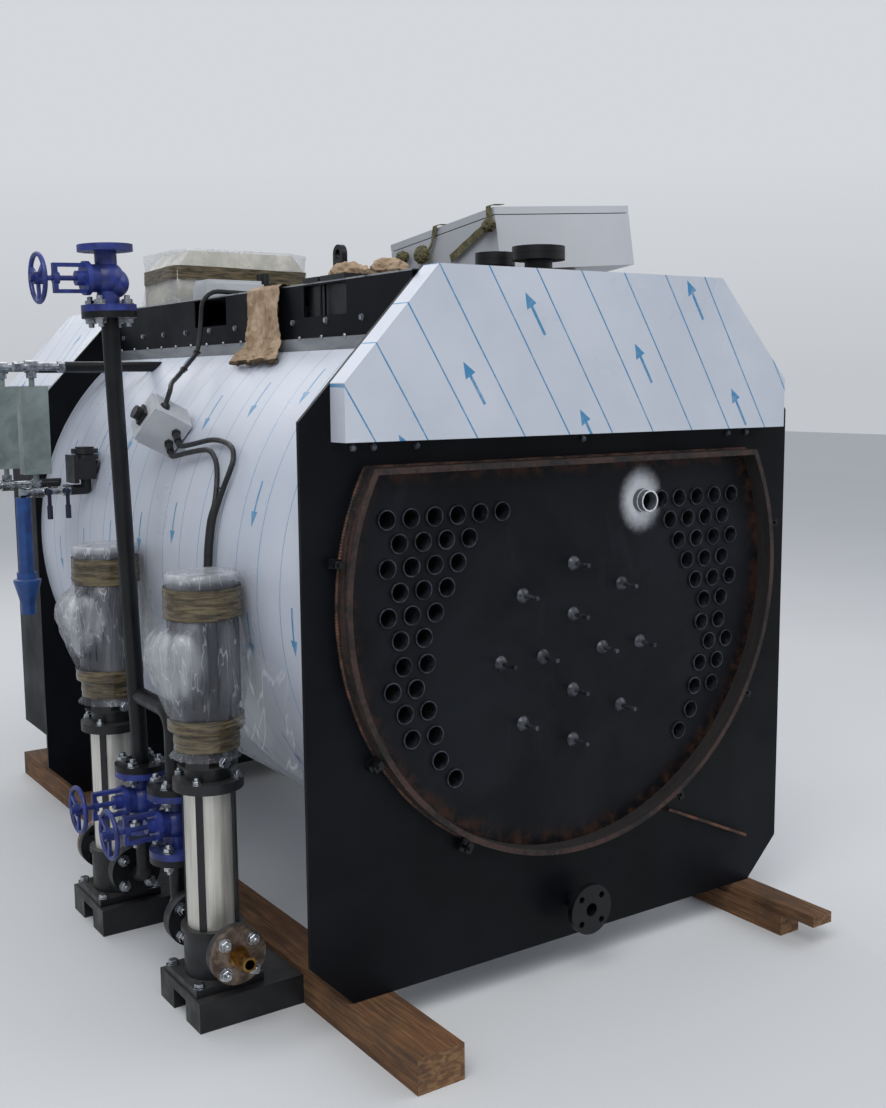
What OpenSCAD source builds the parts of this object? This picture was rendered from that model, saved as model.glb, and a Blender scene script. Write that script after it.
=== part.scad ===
// Package fire-tube boiler on transport timbers: clad shell between two sheet end plates,
// open tube plate at the near end, film-covered hoods, two vertical feed pumps with their
// valves and riser, two level gauges, a service deck and a control cabinet lying on it.
// Millimetres. +X right across the near end plate, +Y along the shell, +Z up.
// Origin: the bottom edge of the near end plate, on the centre plane, at its front face.

/* [End plates] */
// Half the width of the sheet end plates
plate_half_w = 828; // [820:1:900]
// Thickness of the sheet end plates
plate_t = 12; // [8:1:16]
// Leg of the cut lower corners
plate_chamfer = 120; // [60:1:160]
// Height where the upper corners start to slope
plate_shoulder_z = 1454; // [1420:1:1500]
// Height of the flat top of the end plates
plate_top_z = 1825; // [1822:1:1900]
// Half the width of the flat top
plate_top_half_w = 477; // [400:1:520]
// Distance from the near plate's front face to the far plate's front face
plate_gap = 2060; // [1960:1:2400]

/* [Shell] */
// Height of the shell's centre line above the plates' bottom edge
shell_z = 1000; // [980:1:1005]
// Outer radius of the pressure shell
shell_r = 736; // [700:1:750]
// Wall of the pressure shell
shell_wall = 12; // [8:1:16]
// Outer radius of the sheet cladding
clad_r = 812; // [780:1:815]
// Thickness of the cladding sheet as built here
clad_t = 3; // [2:0.5:5]
// Number of cladding courses along the shell
clad_courses = 3; // [2:1:5]
// Lap of one course over the next
clad_lap = 30; // [20:1:60]

/* [Near end] */
// How far the drain flange stands out of the near end plate
drain_reach = 84; // [60:1:120]
// Radius of the drain flange
drain_flange_r = 70; // [66:0.5:80]
// Outer radius of the drain pipe
drain_pipe_r = 21.2; // [18:0.1:25]
// Bolt circle of the drain flange
drain_bolt_circle = 100; // [96:1:110]
// Where the drain pipe ends inside the shell
drain_in = 72; // [40:1:120]
// How far the rim stands out from the near end plate
rim_depth = 50; // [30:1:80]
// Thickness of the rim
rim_t = 15; // [8:1:20]
// Height of the rim's straight top bar
rim_chord_z = 1341; // [1300:1:1380]
// Outer radius of a fire tube
tube_r = 25.4; // [22:0.1:28]
// Wall of a fire tube
tube_wall = 2.9; // [2:0.1:4]
// Pitch of the fire tubes
tube_pitch = 70; // [66:0.5:76]
// Length of tube standing out of the tube plate
tube_stand = 6; // [3:1:10]
// Distance of the outermost tube column from the centre plane
tube_outer_x = 595; // [580:1:605]
// Height of the top row of tubes
tube_top_z = 1212; // [1190:1:1230]
// Radius of the outer circle of studs
stud_circle_outer = 245; // [200:1:260]
// Radius of the inner circle of studs
stud_circle_inner = 105; // [90:1:130]
// Height of the studs' common centre
stud_centre_z = 810; // [780:1:840]
// Length of a stud's pin
stud_len = 62; // [40:1:90]

/* [Hoods] */
// Half the width of the hood's front
hood_half_w = 743; // [700:1:780]
// Bottom edge of the hood's front
hood_bottom_z = 1406; // [1380:1:1440]
// Depth of the near hood in front of the end plate
hood_depth = 68; // [40:1:100]
// Thickness of the hood sheet
hood_t = 3; // [2:0.5:5]
// Length of the rear casing behind the far end plate
rear_len = 560; // [400:1:700]
// Bottom of the rear casing
rear_bottom_z = 60; // [30:1:120]
// Leg of the rear casing's cut lower corners
rear_chamfer = 110; // [60:1:140]

/* [Deck] */
// Half the width of the deck between its side panels
deck_half_w = 500; // [480:1:540]
// Thickness of the deck's sheets
deck_t = 4; // [3:0.5:6]
// Height of the strip that joins a side panel to the cladding
strip_h = 34; // [25:1:45]
// Width of the strip's flange on the cladding
strip_t = 5; // [3:0.5:8]

// Depth of the notches in the side panels, from the deck's top
notch_drop = 92; // [60:1:95]
// Depth of the black blocks in the near notches, across the boiler
block_d = 56; // [30:1:64]
// Height of the blocks' caps above the deck
block_cap = 13; // [6:1:20]

/* [Junction boxes and cables] */
// Angle of the clad box above the horizontal, round the shell
clad_box_angle = 27.2; // [24:0.1:31]
// Distance of the clad box's near side from the near plate
clad_box_y = 932; // [900:1:960]
// Turn of the clad box about its own stand
clad_box_turn = 31.6; // [28:0.1:34]
// Gap between the clad box and the cladding
clad_box_gap = 6; // [4:0.5:10]
// How far the clad box stands out
clad_box_depth = 123; // [110:1:130]
// Width of the clad box along the shell
clad_box_w = 100; // [90:1:120]
// Height of the clad box
clad_box_h = 122; // [110:1:130]
// Right end of the deck box
deck_box_x1 = -200; // [-210:1:-190]
// Near side of the deck box
deck_box_y = 1420; // [1410:1:1430]
// Length of the deck box across the boiler
deck_box_l = 210; // [180:1:220]
// Width of the deck box along the boiler
deck_box_w = 120; // [110:1:130]
// Height of the deck box without its lid
deck_box_h = 64; // [50:1:70]
// Thickness of the boxes' lids
box_lid_t = 12; // [8:1:16]
// Radius of a cable gland
gland_r = 11; // [9:0.5:13]
// Length of a cable gland
gland_l = 50; // [28:1:56]
// Distance between the clad box's two motor glands
gland_pitch = 40; // [36:1:44]
// Distance of the motor glands from the clad box's foot
clad_gland_x = 30; // [26:1:34]
// Distance of the upper gland from the clad box's foot
top_gland_x = 88; // [80:1:96]
// Distance of the upper gland from the clad box's near side
top_gland_y = 40; // [34:1:50]
// Radius of a supply cable
cable_r = 7.5; // [5:0.5:8]

/* [Nozzles and lug] */
// Distance of the larger nozzle from the near plate
nozzle_a_y = 156; // [150:1:180]
// Flange radius of the larger nozzle
nozzle_a_r = 72; // [65:0.5:80]
// Distance of the smaller nozzle from the near plate
nozzle_b_y = 354; // [330:1:380]
// Flange radius of the smaller nozzle
nozzle_b_r = 57; // [50:0.5:60]
// Height of the blank flanges' upper face
nozzle_top_z = 1906; // [1890:1:1920]
// Thickness of each flange disc on top
nozzle_flange_t = 18; // [14:1:22]
// Distance of the lifting lug from the near plate
lug_y = 1240; // [1200:1:1300]
// Width of the lifting lug along the shell
lug_w = 64; // [50:1:90]
// Thickness of the lifting lug
lug_t = 20; // [12:1:30]
// Top of the lifting lug
lug_top_z = 2010; // [1980:1:2040]
// Radius of the hole in the lug
lug_hole_r = 16; // [10:0.5:20]

/* [Cabinet] */
// Width of the cabinet across the boiler
cabinet_w = 540; // [450:1:560]
// Length of the cabinet along the boiler
cabinet_l = 600; // [500:1:640]
// Depth of the cabinet, without its door
cabinet_d = 164; // [140:1:166]
// Thickness of the cabinet door
door_t = 22; // [16:1:30]
// Gap under the cabinet door
door_gap = 3; // [1:0.5:5]
// Tilt of the cabinet across the boiler in degrees
cabinet_tilt_x = 4.2; // [3:0.1:5]
// Tilt of the cabinet along the boiler in degrees
cabinet_tilt_y = 5.7; // [5:0.1:6.5]

/* [Pumps and feed line] */
// Distance of the pump line from the centre plane
pump_x = 920; // [915:1:960]
// Distance of the near pump from the near plate
pump_a_y = 370; // [360:1:400]
// Distance of the far pump from the near plate
pump_b_y = 1080; // [1060:1:1120]
// Distance from a pump's axis to its flange face
pump_reach = 140; // [130:1:150]
// Height of the pump's flange centre
pump_port_z = 102; // [98:1:110]
// Height of a pump's cast base above its flange centre
base_rise = 38; // [36:1:60]
// Radius of the pump's sleeve
sleeve_r = 65; // [55:1:70]
// Top of the sleeve
sleeve_top_z = 509; // [480:1:540]
// Top of the pump head
head_top_z = 693; // [670:1:720]
// Radius of the motor
motor_r = 92; // [80:1:98]
// Top of the motor
motor_top_z = 1052; // [1000:1:1090]
// Outer radius of the feed pipe
pipe_r = 24.15; // [20:0.05:27]
// Wall of the feed pipe
pipe_wall = 2.6; // [2:0.1:4]
// Bend radius of the feed pipe
pipe_bend = 57; // [50:1:65]
// Radius of the flanges on the feed line
flange_r = 75; // [70:0.5:80]
// Thickness of the flanges on the feed line
flange_t = 18; // [14:1:22]
// Bolt circle of the flanges on the feed line
bolt_circle = 110; // [100:1:125]
// Radius of the bolt holes in the flanges
bolt_hole_r = 9; // [7:0.5:11]
// Height of the centre of the two line valves
valve_z = 348; // [340:1:360]
// Half the length of a valve between its flange faces
valve_half = 90; // [85:1:100]
// Height of the branch pipe
branch_z = 656; // [620:1:700]
// Height of the centre of the top valve
top_valve_z = 1835; // [1780:1:1860]
// Lean of the riser away from the shell in degrees
riser_lean = 1.7; // [0:0.1:2.5]
// Distance from a valve's axis to the end of its bonnet
bonnet_end = 66; // [62:1:72]
// Distance from a valve's axis to the end of its yoke
yoke_end = 150; // [140:1:156]
// Length of the yoke's boss for the stem
yoke_boss = 16; // [12:1:20]
// Distance from a valve's axis to its handwheel
wheel_reach = 190; // [185:1:210]
// Radius of the handwheel's rim centre
wheel_r = 63; // [55:0.5:70]
// Radius of the handwheel's rim section
wheel_rim = 6.5; // [5:0.5:8]
// Radius of the valve stem
stem_r = 7; // [6:0.5:9]
// Outer radius of a suction nipple
nipple_r = 19; // [15:0.5:19.5]
// Bore radius of a suction nipple
nipple_bore_r = 13; // [8:0.5:14]
// How far a valve's belly is set towards the shell
belly_out = 18; // [0:1:24]
// How far a skid stands out beyond its pump's axis
skid_out = 100; // [95:1:130]
// Width of the slot between a skid's two legs
skid_slot_w = 80; // [60:1:120]
// Height of the slot between a skid's two legs
skid_slot_h = 56; // [40:1:64]
// Wall of a skid's hollow legs
skid_wall = 8; // [5:0.5:12]
// Height of a pump skid
skid_h = 80; // [60:1:85]
// Width of a pump skid
skid_w = 260; // [240:1:280]

/* [Level gauges] */
// Distance of the near gauge from the near plate
gauge_a_y = 1560; // [1540:1:1600]
// Distance of the far gauge from the near plate
gauge_b_y = 1900; // [1860:1:1930]
// Distance of the gauges from the centre plane
gauge_x = 970; // [960:1:990]
// Width of the gauge block
gauge_w = 88; // [70:1:95]
// Depth of the gauge block
gauge_d = 52; // [40:1:60]
// Bottom of the gauge block
gauge_low_z = 1258; // [1250:1:1270]
// Top of the gauge block
gauge_high_z = 1541; // [1500:1:1550]
// Height of the upper gauge connection
gauge_up_z = 1604; // [1590:1:1620]
// Height of the lower gauge connection
gauge_down_z = 1200; // [1190:1:1210]
// Distance of the left cock lever from the centre plane
lever_left_x = 945; // [935:1:950]
// Distance of the right cock lever from the centre plane
lever_right_x = 885; // [880:1:900]
// Length of a cock lever from its pivot to the end of its grip
lever_l = 88; // [70:1:90]
// Distance of the cocks' inner ends from the centre plane
cock_in_x = 862; // [855:1:868]
// Distance of the level casting from the centre plane
casting_x = 806; // [800:1:812]
// Height of the level casting's centre
casting_z = 1269; // [1260:1:1280]
// Radius over the corners of the gauge cocks' nuts
gauge_nut_r = 17; // [15:0.5:19]
// Radius of the blue drain pipe below the near gauge
gauge_drain_r = 24; // [18:1:25]
// Radius of the drain funnel's mouth
funnel_r = 44; // [40:1:50]
// Height of the drain funnel's mouth
funnel_top_z = 922; // [900:1:940]
// Lower end of the drain funnel
funnel_low_z = 800; // [780:1:820]
// Radius of a cock's spindle
spindle_r = 5; // [4:0.5:7]
// Radius of the black gauge pipes
gauge_pipe_r = 17; // [12:0.5:20]

/* [Timbers] */
// Height from the ground to the end plates
timber_h = 92; // [85:1:110]
// Width of the left timber
timber_w = 132; // [100:1:160]
// Distance of the left timber's inner side from the centre plane
timber_x = 592; // [560:1:600]
// How far the left timber stands out in front
timber_front = 316; // [250:1:360]
// How far the timbers stand out behind the far plate
timber_rear = 690; // [600:1:800]
// How far the lower bearer's near end lies behind the plank's
bearer_back = 110; // [60:1:160]
// Width of the right plank
plank_w = 78; // [60:1:90]
// Thickness of the right plank
plank_t = 31; // [25:1:40]
// Distance of the right plank's inner side from the centre plane
plank_x = 642; // [620:1:660]

/* [Hidden] */
$fn = 48;

// Clearance between a piece and the hole it sits in
seat = 0.3;
eps = 0.01;
// Clearance of a stem or spindle that turns in its bore
stem_gap = 0.1;
// Radius of the bore through pumps and valves
flow_r = 20;

rim_in_r = shell_r - rim_t;
near_line_y = pump_a_y + pump_reach + flange_t + 15 + pipe_bend;
far_line_y = pump_b_y - pump_reach - flange_t - 15 - pipe_bend;
valve_low_z = valve_z - valve_half;
valve_high_z = valve_z + valve_half;
riser_foot_z = valve_high_z + flange_t;
deck_top_z = shell_z + clad_r + deck_t + 1;
ground_z = -timber_h;
skid_top_z = ground_z + skid_h;
rear_end_y = plate_gap + plate_t + rear_len;
riser_l = top_valve_z - valve_half - valve_high_z;
timber_l = timber_front + plate_gap + timber_rear;
course_l = (plate_gap - plate_t) / clad_courses;
panel_h = deck_top_z - deck_t - shell_z - sqrt(clad_r * clad_r - deck_half_w * deck_half_w) - 1 - seat;
// Near left top corner of the cabinet
cabinet_corner = [138, 546, 2066];
// Packers under the cabinet: their near sides, their left ends and their size
packer_y = [572, 1060];
packer_x = 170;
packer_l = 310;
packer_w = 60;
// Directions of the rim's clips, from +X towards +Z
clip_angles = [-60, -31, 9, 171, 211, 240];

// Sides of a cable's skin
cable_sides = 8;
// Notches in the top edge of a side panel: start and width along the shell
deck_notches = [[330, 136], [474, 92], [1075, 240]];
// Where the cable from the deck to the clad box runs
deck_cable = [
    [-174, 1404.4, 1837.4], [-178, 1370, 1834], [-215, 1260, 1827], [-300, 1160, 1825.5],
    [-400, 1112, 1825.5], [-465, 1128, 1829], [-514, 1144, 1829], [-546, 1151, 1799], [-556, 1148, 1742],
    [-570, 1131, 1684], [-592, 1110, 1640], [-622, 1090, 1614], [-657, 1062, 1588],
    [-695, 1030, 1562], [-728, 985, 1547], [-749.4, 947.4, 1526], [-765.6, 938.1, 1492.9]
];
// Where the two cables from the clad box to the near motor run
motor_cables = [
    [
        [-758.6, 878.4, 1379.1], [-764, 852, 1367], [-752, 790, 1374], [-738, 703, 1388],
        [-735, 629, 1388], [-742, 551, 1374], [-757, 509, 1345], [-773, 504, 1308], [-788, 516, 1262],
        [-801, 528, 1215], [-811, 532, 1179], [-822, 531, 1110], [-826, 530, 1065], [-832, 528, 1020],
        [-842, 505, 968], [-858, 483, 942], [-874.8, 454.5, 930.9]
    ],
    [
        [-774.4, 898.6, 1348.5], [-780, 872, 1337], [-767, 800, 1349], [-753, 690, 1362],
        [-758, 630, 1345], [-769, 590, 1315], [-785, 560, 1270], [-798, 549, 1222], [-812, 551, 1179],
        [-823, 550, 1110], [-827, 549, 1065], [-832, 548, 1015], [-848, 520, 958], [-874, 494, 918],
        [-894.4, 462.2, 905.9]
    ]
];

// Row of tubes: distance of the outermost tube from the centre plane, tubes in the row, height
half_row = tube_pitch / 2;
row_drop = tube_pitch * sqrt(3) / 2;
tube_rows = [
    [tube_outer_x, 6, tube_top_z],
    [tube_outer_x - half_row, 4, tube_top_z - row_drop],
    [tube_outer_x, 4, tube_top_z - 2 * row_drop],
    [tube_outer_x - half_row, 3, tube_top_z - 3 * row_drop],
    [tube_outer_x, 3, tube_top_z - 4 * row_drop],
    [tube_outer_x - half_row, 2, tube_top_z - 5 * row_drop],
    [tube_outer_x - 43, 2, tube_top_z - 370],
    [tube_outer_x - 10, 2, tube_top_z - 431],
    [tube_outer_x - 46, 2, tube_top_z - 492],
    [tube_outer_x - 66, 2, tube_top_z - 559],
    [tube_outer_x - 151, 1, tube_top_z - 628],
    [tube_outer_x - 197, 1, tube_top_z - 684]
];
tube_spots = [
    for (side = [-1, 1])
        for (row = tube_rows)
            for (k = [0 : row[1] - 1])
                [side * (row[0] - k * tube_pitch), row[2]]
];
collar_spot = [tube_outer_x - 5 * tube_pitch, tube_top_z];

// Cylinder along Y from y0 to y1 with its axis at x, z
module y_rod(r, y0, y1, x = 0, z = 0) {
    translate([x, y0, z])
        rotate([-90, 0, 0])
            cylinder(r = r, h = y1 - y0);
}

// Cylinder along X from x0 to x1 with its axis at y, z
module x_rod(r, x0, x1, y = 0, z = 0) {
    translate([x0, y, z])
        rotate([0, 90, 0])
            cylinder(r = r, h = x1 - x0);
}

// Cylinder along Z from z0 to z1 with its axis at x, y
module z_rod(r, z0, z1, x = 0, y = 0) {
    translate([x, y, z0])
        cylinder(r = r, h = z1 - z0);
}

// Outline drawn in X and Z, given a thickness along Y from y0 to y1
module upright(y0, y1) {
    translate([0, y1, 0])
        rotate([90, 0, 0])
            linear_extrude(y1 - y0)
                children();
}

// Full outline of a sheet end plate
module plate_outline() {
    polygon([
        [-plate_half_w + plate_chamfer, 0], [plate_half_w - plate_chamfer, 0],
        [plate_half_w, plate_chamfer], [plate_half_w, plate_shoulder_z],
        [plate_top_half_w, plate_top_z], [-plate_top_half_w, plate_top_z],
        [-plate_half_w, plate_shoulder_z], [-plate_half_w, plate_chamfer]
    ]);
}

// Height on the sloping shoulder at a distance x from the centre plane
function shoulder_at(x) = plate_top_z
    - (x - plate_top_half_w) * (plate_top_z - plate_shoulder_z) / (plate_half_w - plate_top_half_w);

// Outline of a hood above its bottom edge, drawn in by inset
module hood_outline(inset) {
    hw = hood_half_w - inset;
    top = plate_top_z - inset;
    mid = shoulder_at(hood_half_w) - inset * 0.4;
    top_hw = plate_top_half_w - inset * 0.4;
    polygon([
        [-hw, hood_bottom_z + inset], [hw, hood_bottom_z + inset], [hw, mid],
        [top_hw, top], [-top_hw, top], [-hw, mid]
    ]);
}

// Round outline of the shell with its top cut off at the straight bar
module d_outline(r, chord_z) {
    intersection() {
        translate([0, shell_z])
            circle(r = r, $fn = 180);
        translate([-r, shell_z - r])
            square([2 * r, chord_z - shell_z + r]);
    }
}

// Sheet end plate with the D-shaped opening for the tube plate
module near_end_plate() {
    color("#0d0f14")
        upright(0, plate_t)
            difference() {
                plate_outline();
                d_outline(rim_in_r, rim_chord_z - rim_t);
                translate([0, pump_port_z])
                    circle(r = drain_pipe_r + seat);
            }
}

// Rim round the tube plate, standing out of the end plate
module smokebox_rim() {
    color("#3a2a22")
        upright(-rim_depth, 0)
            difference() {
                d_outline(shell_r, rim_chord_z);
                d_outline(rim_in_r, rim_chord_z - rim_t);
            }
}

// Clips that hold a cover against the rim, set on the end plate outside it
module rim_clips() {
    color("#6b625c")
        for (a = clip_angles) {
            translate([0, 0, shell_z])
                rotate([0, -a, 0])
                    translate([shell_r + 2, 0, 0]) {
                        translate([0, -14, -12])
                            cube([34, 14, 24]);
                        y_rod(5, -46, -14 + eps, 20, 0);
                        translate([4, -40, -9])
                            cube([28, 8, 18]);
                    }
        }
}

// Thick plate that the fire tubes end in
module tube_plate() {
    color("#17191e")
        difference() {
            upright(0, plate_t)
                d_outline(rim_in_r - seat, rim_chord_z - rim_t - seat);
            for (spot = tube_spots)
                y_rod(tube_r + seat, -1, plate_t + 1, spot[0], spot[1]);
        }
}

// Fire tubes from the near tube plate to the far end plate
module fire_tubes() {
    color("#23262b")
        for (spot = tube_spots)
            difference() {
                y_rod(tube_r, -tube_stand, plate_gap - seat, spot[0], spot[1]);
                y_rod(tube_r - tube_wall, -tube_stand - 1, plate_gap, spot[0], spot[1]);
            }
}

// One stud on the tube plate: domed weld and a pin
module wall_stud() {
    intersection() {
        translate([0, 12, 0])
            sphere(r = 24);
        translate([-30, -30, -30])
            cube([60, 30, 60]);
    }
    y_rod(6, -stud_len, -6, 0, 0);
}

// Studs in two circles that carry the end wall's lining
module wall_studs() {
    color("#2b2f36") {
        for (k = [0 : 7])
            translate([stud_circle_outer * sin(45 * k), 0, stud_centre_z + stud_circle_outer * cos(45 * k)])
                wall_stud();
        for (k = [0 : 3])
            translate([stud_circle_inner * sin(90 * k), 0, stud_centre_z + stud_circle_inner * cos(90 * k)])
                wall_stud();
    }
}

// Collar and sleeve fixed round the innermost tube of the right top row
module test_collar() {
    color("#d9dbe0")
        translate([collar_spot[0], 0, collar_spot[1]])
            difference() {
                union() {
                    y_rod(33, -16, 0);
                    y_rod(30, -34, -16 + eps);
                }
                y_rod(tube_r + seat, -40, 1);
            }
}

// Drain stub with its flange, coming out of the bottom of the near end plate
module drain_flange() {
    color("#14161a")
        difference() {
            union() {
                y_rod(drain_pipe_r, -drain_reach, drain_in, 0, pump_port_z);
                y_rod(drain_flange_r, -drain_reach, -drain_reach + flange_t, 0, pump_port_z);
            }
            y_rod(drain_pipe_r - pipe_wall, -drain_reach - 1, drain_in - 10, 0, pump_port_z);
            translate([0, -drain_reach - 1, pump_port_z])
                rotate([-90, 0, 0])
                    bolt_holes(drain_bolt_circle, flange_t + 2);
        }
}

// Four bolt holes on a circle, along Z from the origin
module bolt_holes(circle_d, depth) {
    for (k = [0 : 3])
        rotate([0, 0, 45 + 90 * k])
            translate([circle_d / 2, 0, 0])
                cylinder(r = bolt_hole_r, h = depth);
}

// Slanted rusty ledge on the lower right of the near end plate
module drip_ledge() {
    color("#6a4630")
        translate([512, 0, 228])
            rotate([0, 24, 0])
                translate([-180, -22, -4])
                    cube([360, 22, 8]);
}

// Shallow film-covered hood on the upper part of the near end plate
module near_hood() {
    color("#dfe4ee")
        difference() {
            upright(-hood_depth, 0)
                hood_outline(0);
            upright(-hood_depth + hood_t, 1)
                hood_outline(hood_t);
        }
}

// Pressure shell between the end plates
module pressure_shell() {
    color("#2a2d33")
        difference() {
            y_rod(shell_r, plate_t, plate_gap, 0, shell_z, $fn = 180);
            y_rod(shell_r - shell_wall, plate_t - 1, plate_gap + 1, 0, shell_z, $fn = 180);
            y_rod(pipe_r + 5, plate_t - 1, plate_gap / 2, 0, pump_port_z);
            for (n = [[nozzle_a_y, 38], [nozzle_b_y, 26]])
                z_rod(n[1] + seat, shell_z, shell_z + shell_r + 1, 0, n[0]);
        }
}

// Sheet cladding in courses, each lapped over the next
module cladding() {
    color("#dfe4ee")
        difference() {
            for (k = [0 : clad_courses - 1]) {
                y0 = plate_t + k * course_l;
                y1 = y0 + course_l;
                last = k == clad_courses - 1;
                difference() {
                    union() {
                        y_rod(clad_r - clad_t - seat, y0 + seat, y1 - (last ? seat : 0), 0, shell_z, $fn = 180);
                        y_rod(clad_r, y0 + (k == 0 ? seat : clad_lap), y1 + (last ? 0 : clad_lap) - seat, 0,
                            shell_z, $fn = 180);
                    }
                    y_rod(clad_r - 2 * clad_t - seat, y0 - 1, y1 - clad_lap, 0, shell_z, $fn = 180);
                    y_rod(clad_r - clad_t, y1 - clad_lap - eps, y1 + clad_lap + 1, 0, shell_z, $fn = 180);
                }
            }
            z_rod(40, shell_z, shell_z + clad_r + 1, 0, nozzle_a_y);
            z_rod(30, shell_z, shell_z + clad_r + 1, 0, nozzle_b_y);
            translate([-lug_t, lug_y - lug_w / 2 - 2, shell_z])
                cube([2 * lug_t, lug_w + 4, clad_r + 1]);
        }
}

// Plain sheet end plate at the far end
module far_end_plate() {
    color("#0d0f14")
        upright(plate_gap, plate_gap + plate_t)
            plate_outline();
}

// Black lower casing behind the far end plate
module rear_casing() {
    color("#101217")
        upright(plate_gap + plate_t, rear_end_y)
            polygon([
                [-hood_half_w + rear_chamfer, rear_bottom_z], [hood_half_w - rear_chamfer, rear_bottom_z],
                [hood_half_w, rear_bottom_z + rear_chamfer], [hood_half_w, hood_bottom_z - seat],
                [-hood_half_w, hood_bottom_z - seat], [-hood_half_w, rear_bottom_z + rear_chamfer]
            ]);
}

// Film-covered hood above the rear casing
module rear_hood() {
    color("#dfe4ee")
        upright(plate_gap + plate_t, rear_end_y)
            hood_outline(0);
}

// Flat top of the deck, pierced for what stands on the shell
module deck_plate() {
    color("#15171b")
        difference() {
            translate([-deck_half_w - deck_t, plate_t + seat, deck_top_z - deck_t])
                cube([2 * (deck_half_w + deck_t), plate_gap - plate_t - 2 * seat, deck_t]);
            z_rod(42, 0, deck_top_z + 1, 0, nozzle_a_y);
            z_rod(32, 0, deck_top_z + 1, 0, nozzle_b_y);
            translate([-lug_t, lug_y - lug_w / 2 - 2, 0])
                cube([2 * lug_t, lug_w + 4, deck_top_z + 1]);
        }
}

// Height of the cladding's surface at a distance x from the centre plane
function clad_z(x) = shell_z + sqrt(clad_r * clad_r - x * x);

// Side panels of the deck with notches in their top edge
module deck_side_panels() {
    color("#15171b")
        for (side = [-1, 1])
            difference() {
                translate([side < 0 ? -deck_half_w - deck_t : deck_half_w, plate_t + seat,
                        clad_z(deck_half_w) + 1])
                    cube([deck_t, plate_gap - plate_t - 2 * seat, panel_h]);
                for (n = deck_notches)
                    translate([-2 * deck_half_w, n[0], deck_top_z - notch_drop])
                        cube([2 * deck_half_w, n[1], notch_drop - 2 * deck_t]);
            }
}

// Black blocks that show in the near notches of the side panels, with caps above the deck
module deck_blocks() {
    color("#0f1114")
        for (side = [-1, 1])
            for (k = [0, 1])
                translate([side < 0 ? -deck_half_w + 12 : deck_half_w - 12 - block_d, deck_notches[k][0] + 2,
                        deck_top_z - notch_drop + 2]) {
                    cube([block_d, deck_notches[k][1] - 4, notch_drop - deck_t - 2 - seat]);
                    translate([side < 0 ? -20 : 0, 0, notch_drop - 2 + seat])
                        cube([block_d + 20, deck_notches[k][1] - 4, block_cap]);
                }
}

// Riveted strips that stand on the cladding outside the side panels
module deck_base_strips() {
    color("#5b5d62")
        for (side = [-1, 1])
            difference() {
                translate([side < 0 ? -deck_half_w - deck_t - strip_t - seat : deck_half_w + deck_t + seat,
                        plate_t + seat, clad_z(deck_half_w + deck_t + strip_t) - 20])
                    cube([strip_t, plate_gap - plate_t - 2 * seat, strip_h + 20]);
                y_rod(clad_r + seat, 0, plate_gap, 0, shell_z, $fn = 180);
            }
}

// One nozzle with its flange and the blank bolted on it
module nozzle(neck_r, disc_r) {
    difference() {
        union() {
            z_rod(neck_r, shell_z + shell_r - shell_wall, nozzle_top_z - 2 * nozzle_flange_t);
            z_rod(disc_r, nozzle_top_z - 2 * nozzle_flange_t - 0.5, nozzle_top_z - nozzle_flange_t - 0.5);
        }
        z_rod(neck_r - 4, shell_z + shell_r - shell_wall - 1, nozzle_top_z - nozzle_flange_t);
    }
    z_rod(disc_r, nozzle_top_z - nozzle_flange_t, nozzle_top_z);
}

// Two blanked nozzles on the crown of the shell
module top_nozzles() {
    color("#0f1114") {
        translate([0, nozzle_a_y, 0])
            nozzle(38, nozzle_a_r);
        translate([0, nozzle_b_y, 0])
            nozzle(26, nozzle_b_r);
    }
}

// Lifting lug welded to the crown of the shell
module lifting_lug() {
    foot = shell_z + shell_r;
    round_z = lug_top_z - lug_w / 2;
    color("#101216")
        difference() {
            union() {
                translate([-lug_t / 2, lug_y - lug_w / 2, foot])
                    cube([lug_t, lug_w, round_z - foot]);
                x_rod(lug_w / 2, -lug_t / 2, lug_t / 2, lug_y, round_z);
            }
            x_rod(lug_hole_r, -lug_t, lug_t, lug_y, round_z);
        }
}

// Places the cabinet by its near left top corner, tilted as it lies on the deck
module as_cabinet_lies() {
    translate(cabinet_corner)
        rotate([-cabinet_tilt_y, -cabinet_tilt_x, 0])
            children();
}

// Sheet-steel control cabinet lying on its back
module control_cabinet() {
    color("#a7abb3")
        as_cabinet_lies()
            translate([0, 0, -door_t - door_gap - cabinet_d])
                cube([cabinet_w, cabinet_l, cabinet_d]);
}

// Door of the cabinet, strapped shut
module cabinet_door() {
    color("#b4b8c0")
        as_cabinet_lies() {
            translate([0, 0, -door_t])
                cube([cabinet_w, cabinet_l, door_t]);
            translate([14, 14, -door_t - door_gap + seat])
                cube([cabinet_w - 28, cabinet_l - 28, door_gap - seat + eps]);
        }
}

// Timber packers that the cabinet lies on
module cabinet_packers() {
    color("#a98a5f")
        for (y = packer_y)
            under_cabinet()
                translate([packer_x, y, deck_top_z + seat])
                    cube([packer_l, packer_w, 200]);
}

// What lies below the cabinet's back
module under_cabinet() {
    difference() {
        children();
        as_cabinet_lies()
            translate([-200, -200, -door_t - door_gap - cabinet_d - seat])
                cube([cabinet_w + 400, cabinet_l + 400, 600]);
    }
}

// Instrument box, wrapped for transport, standing at the far end of the deck
module wrapped_box() {
    color("#c9ccd0")
        translate([-440, 1600, deck_top_z + seat])
            hull() {
                cube([500, 300, 120]);
                translate([60, 30, 0])
                    cube([400, 240, 188]);
            }
}

// Point on a smooth curve through the points p, a share t of the way from point i to the next
function curve_at(p, i, t) =
    let (a = p[max(i - 1, 0)], b = p[i], c = p[i + 1], d = p[min(i + 2, len(p) - 1)])
    0.5 * (2 * b + (c - a) * t + (2 * a - 5 * b + 4 * c - d) * t * t + (3 * b - a - 3 * c + d) * t * t * t);

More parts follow.
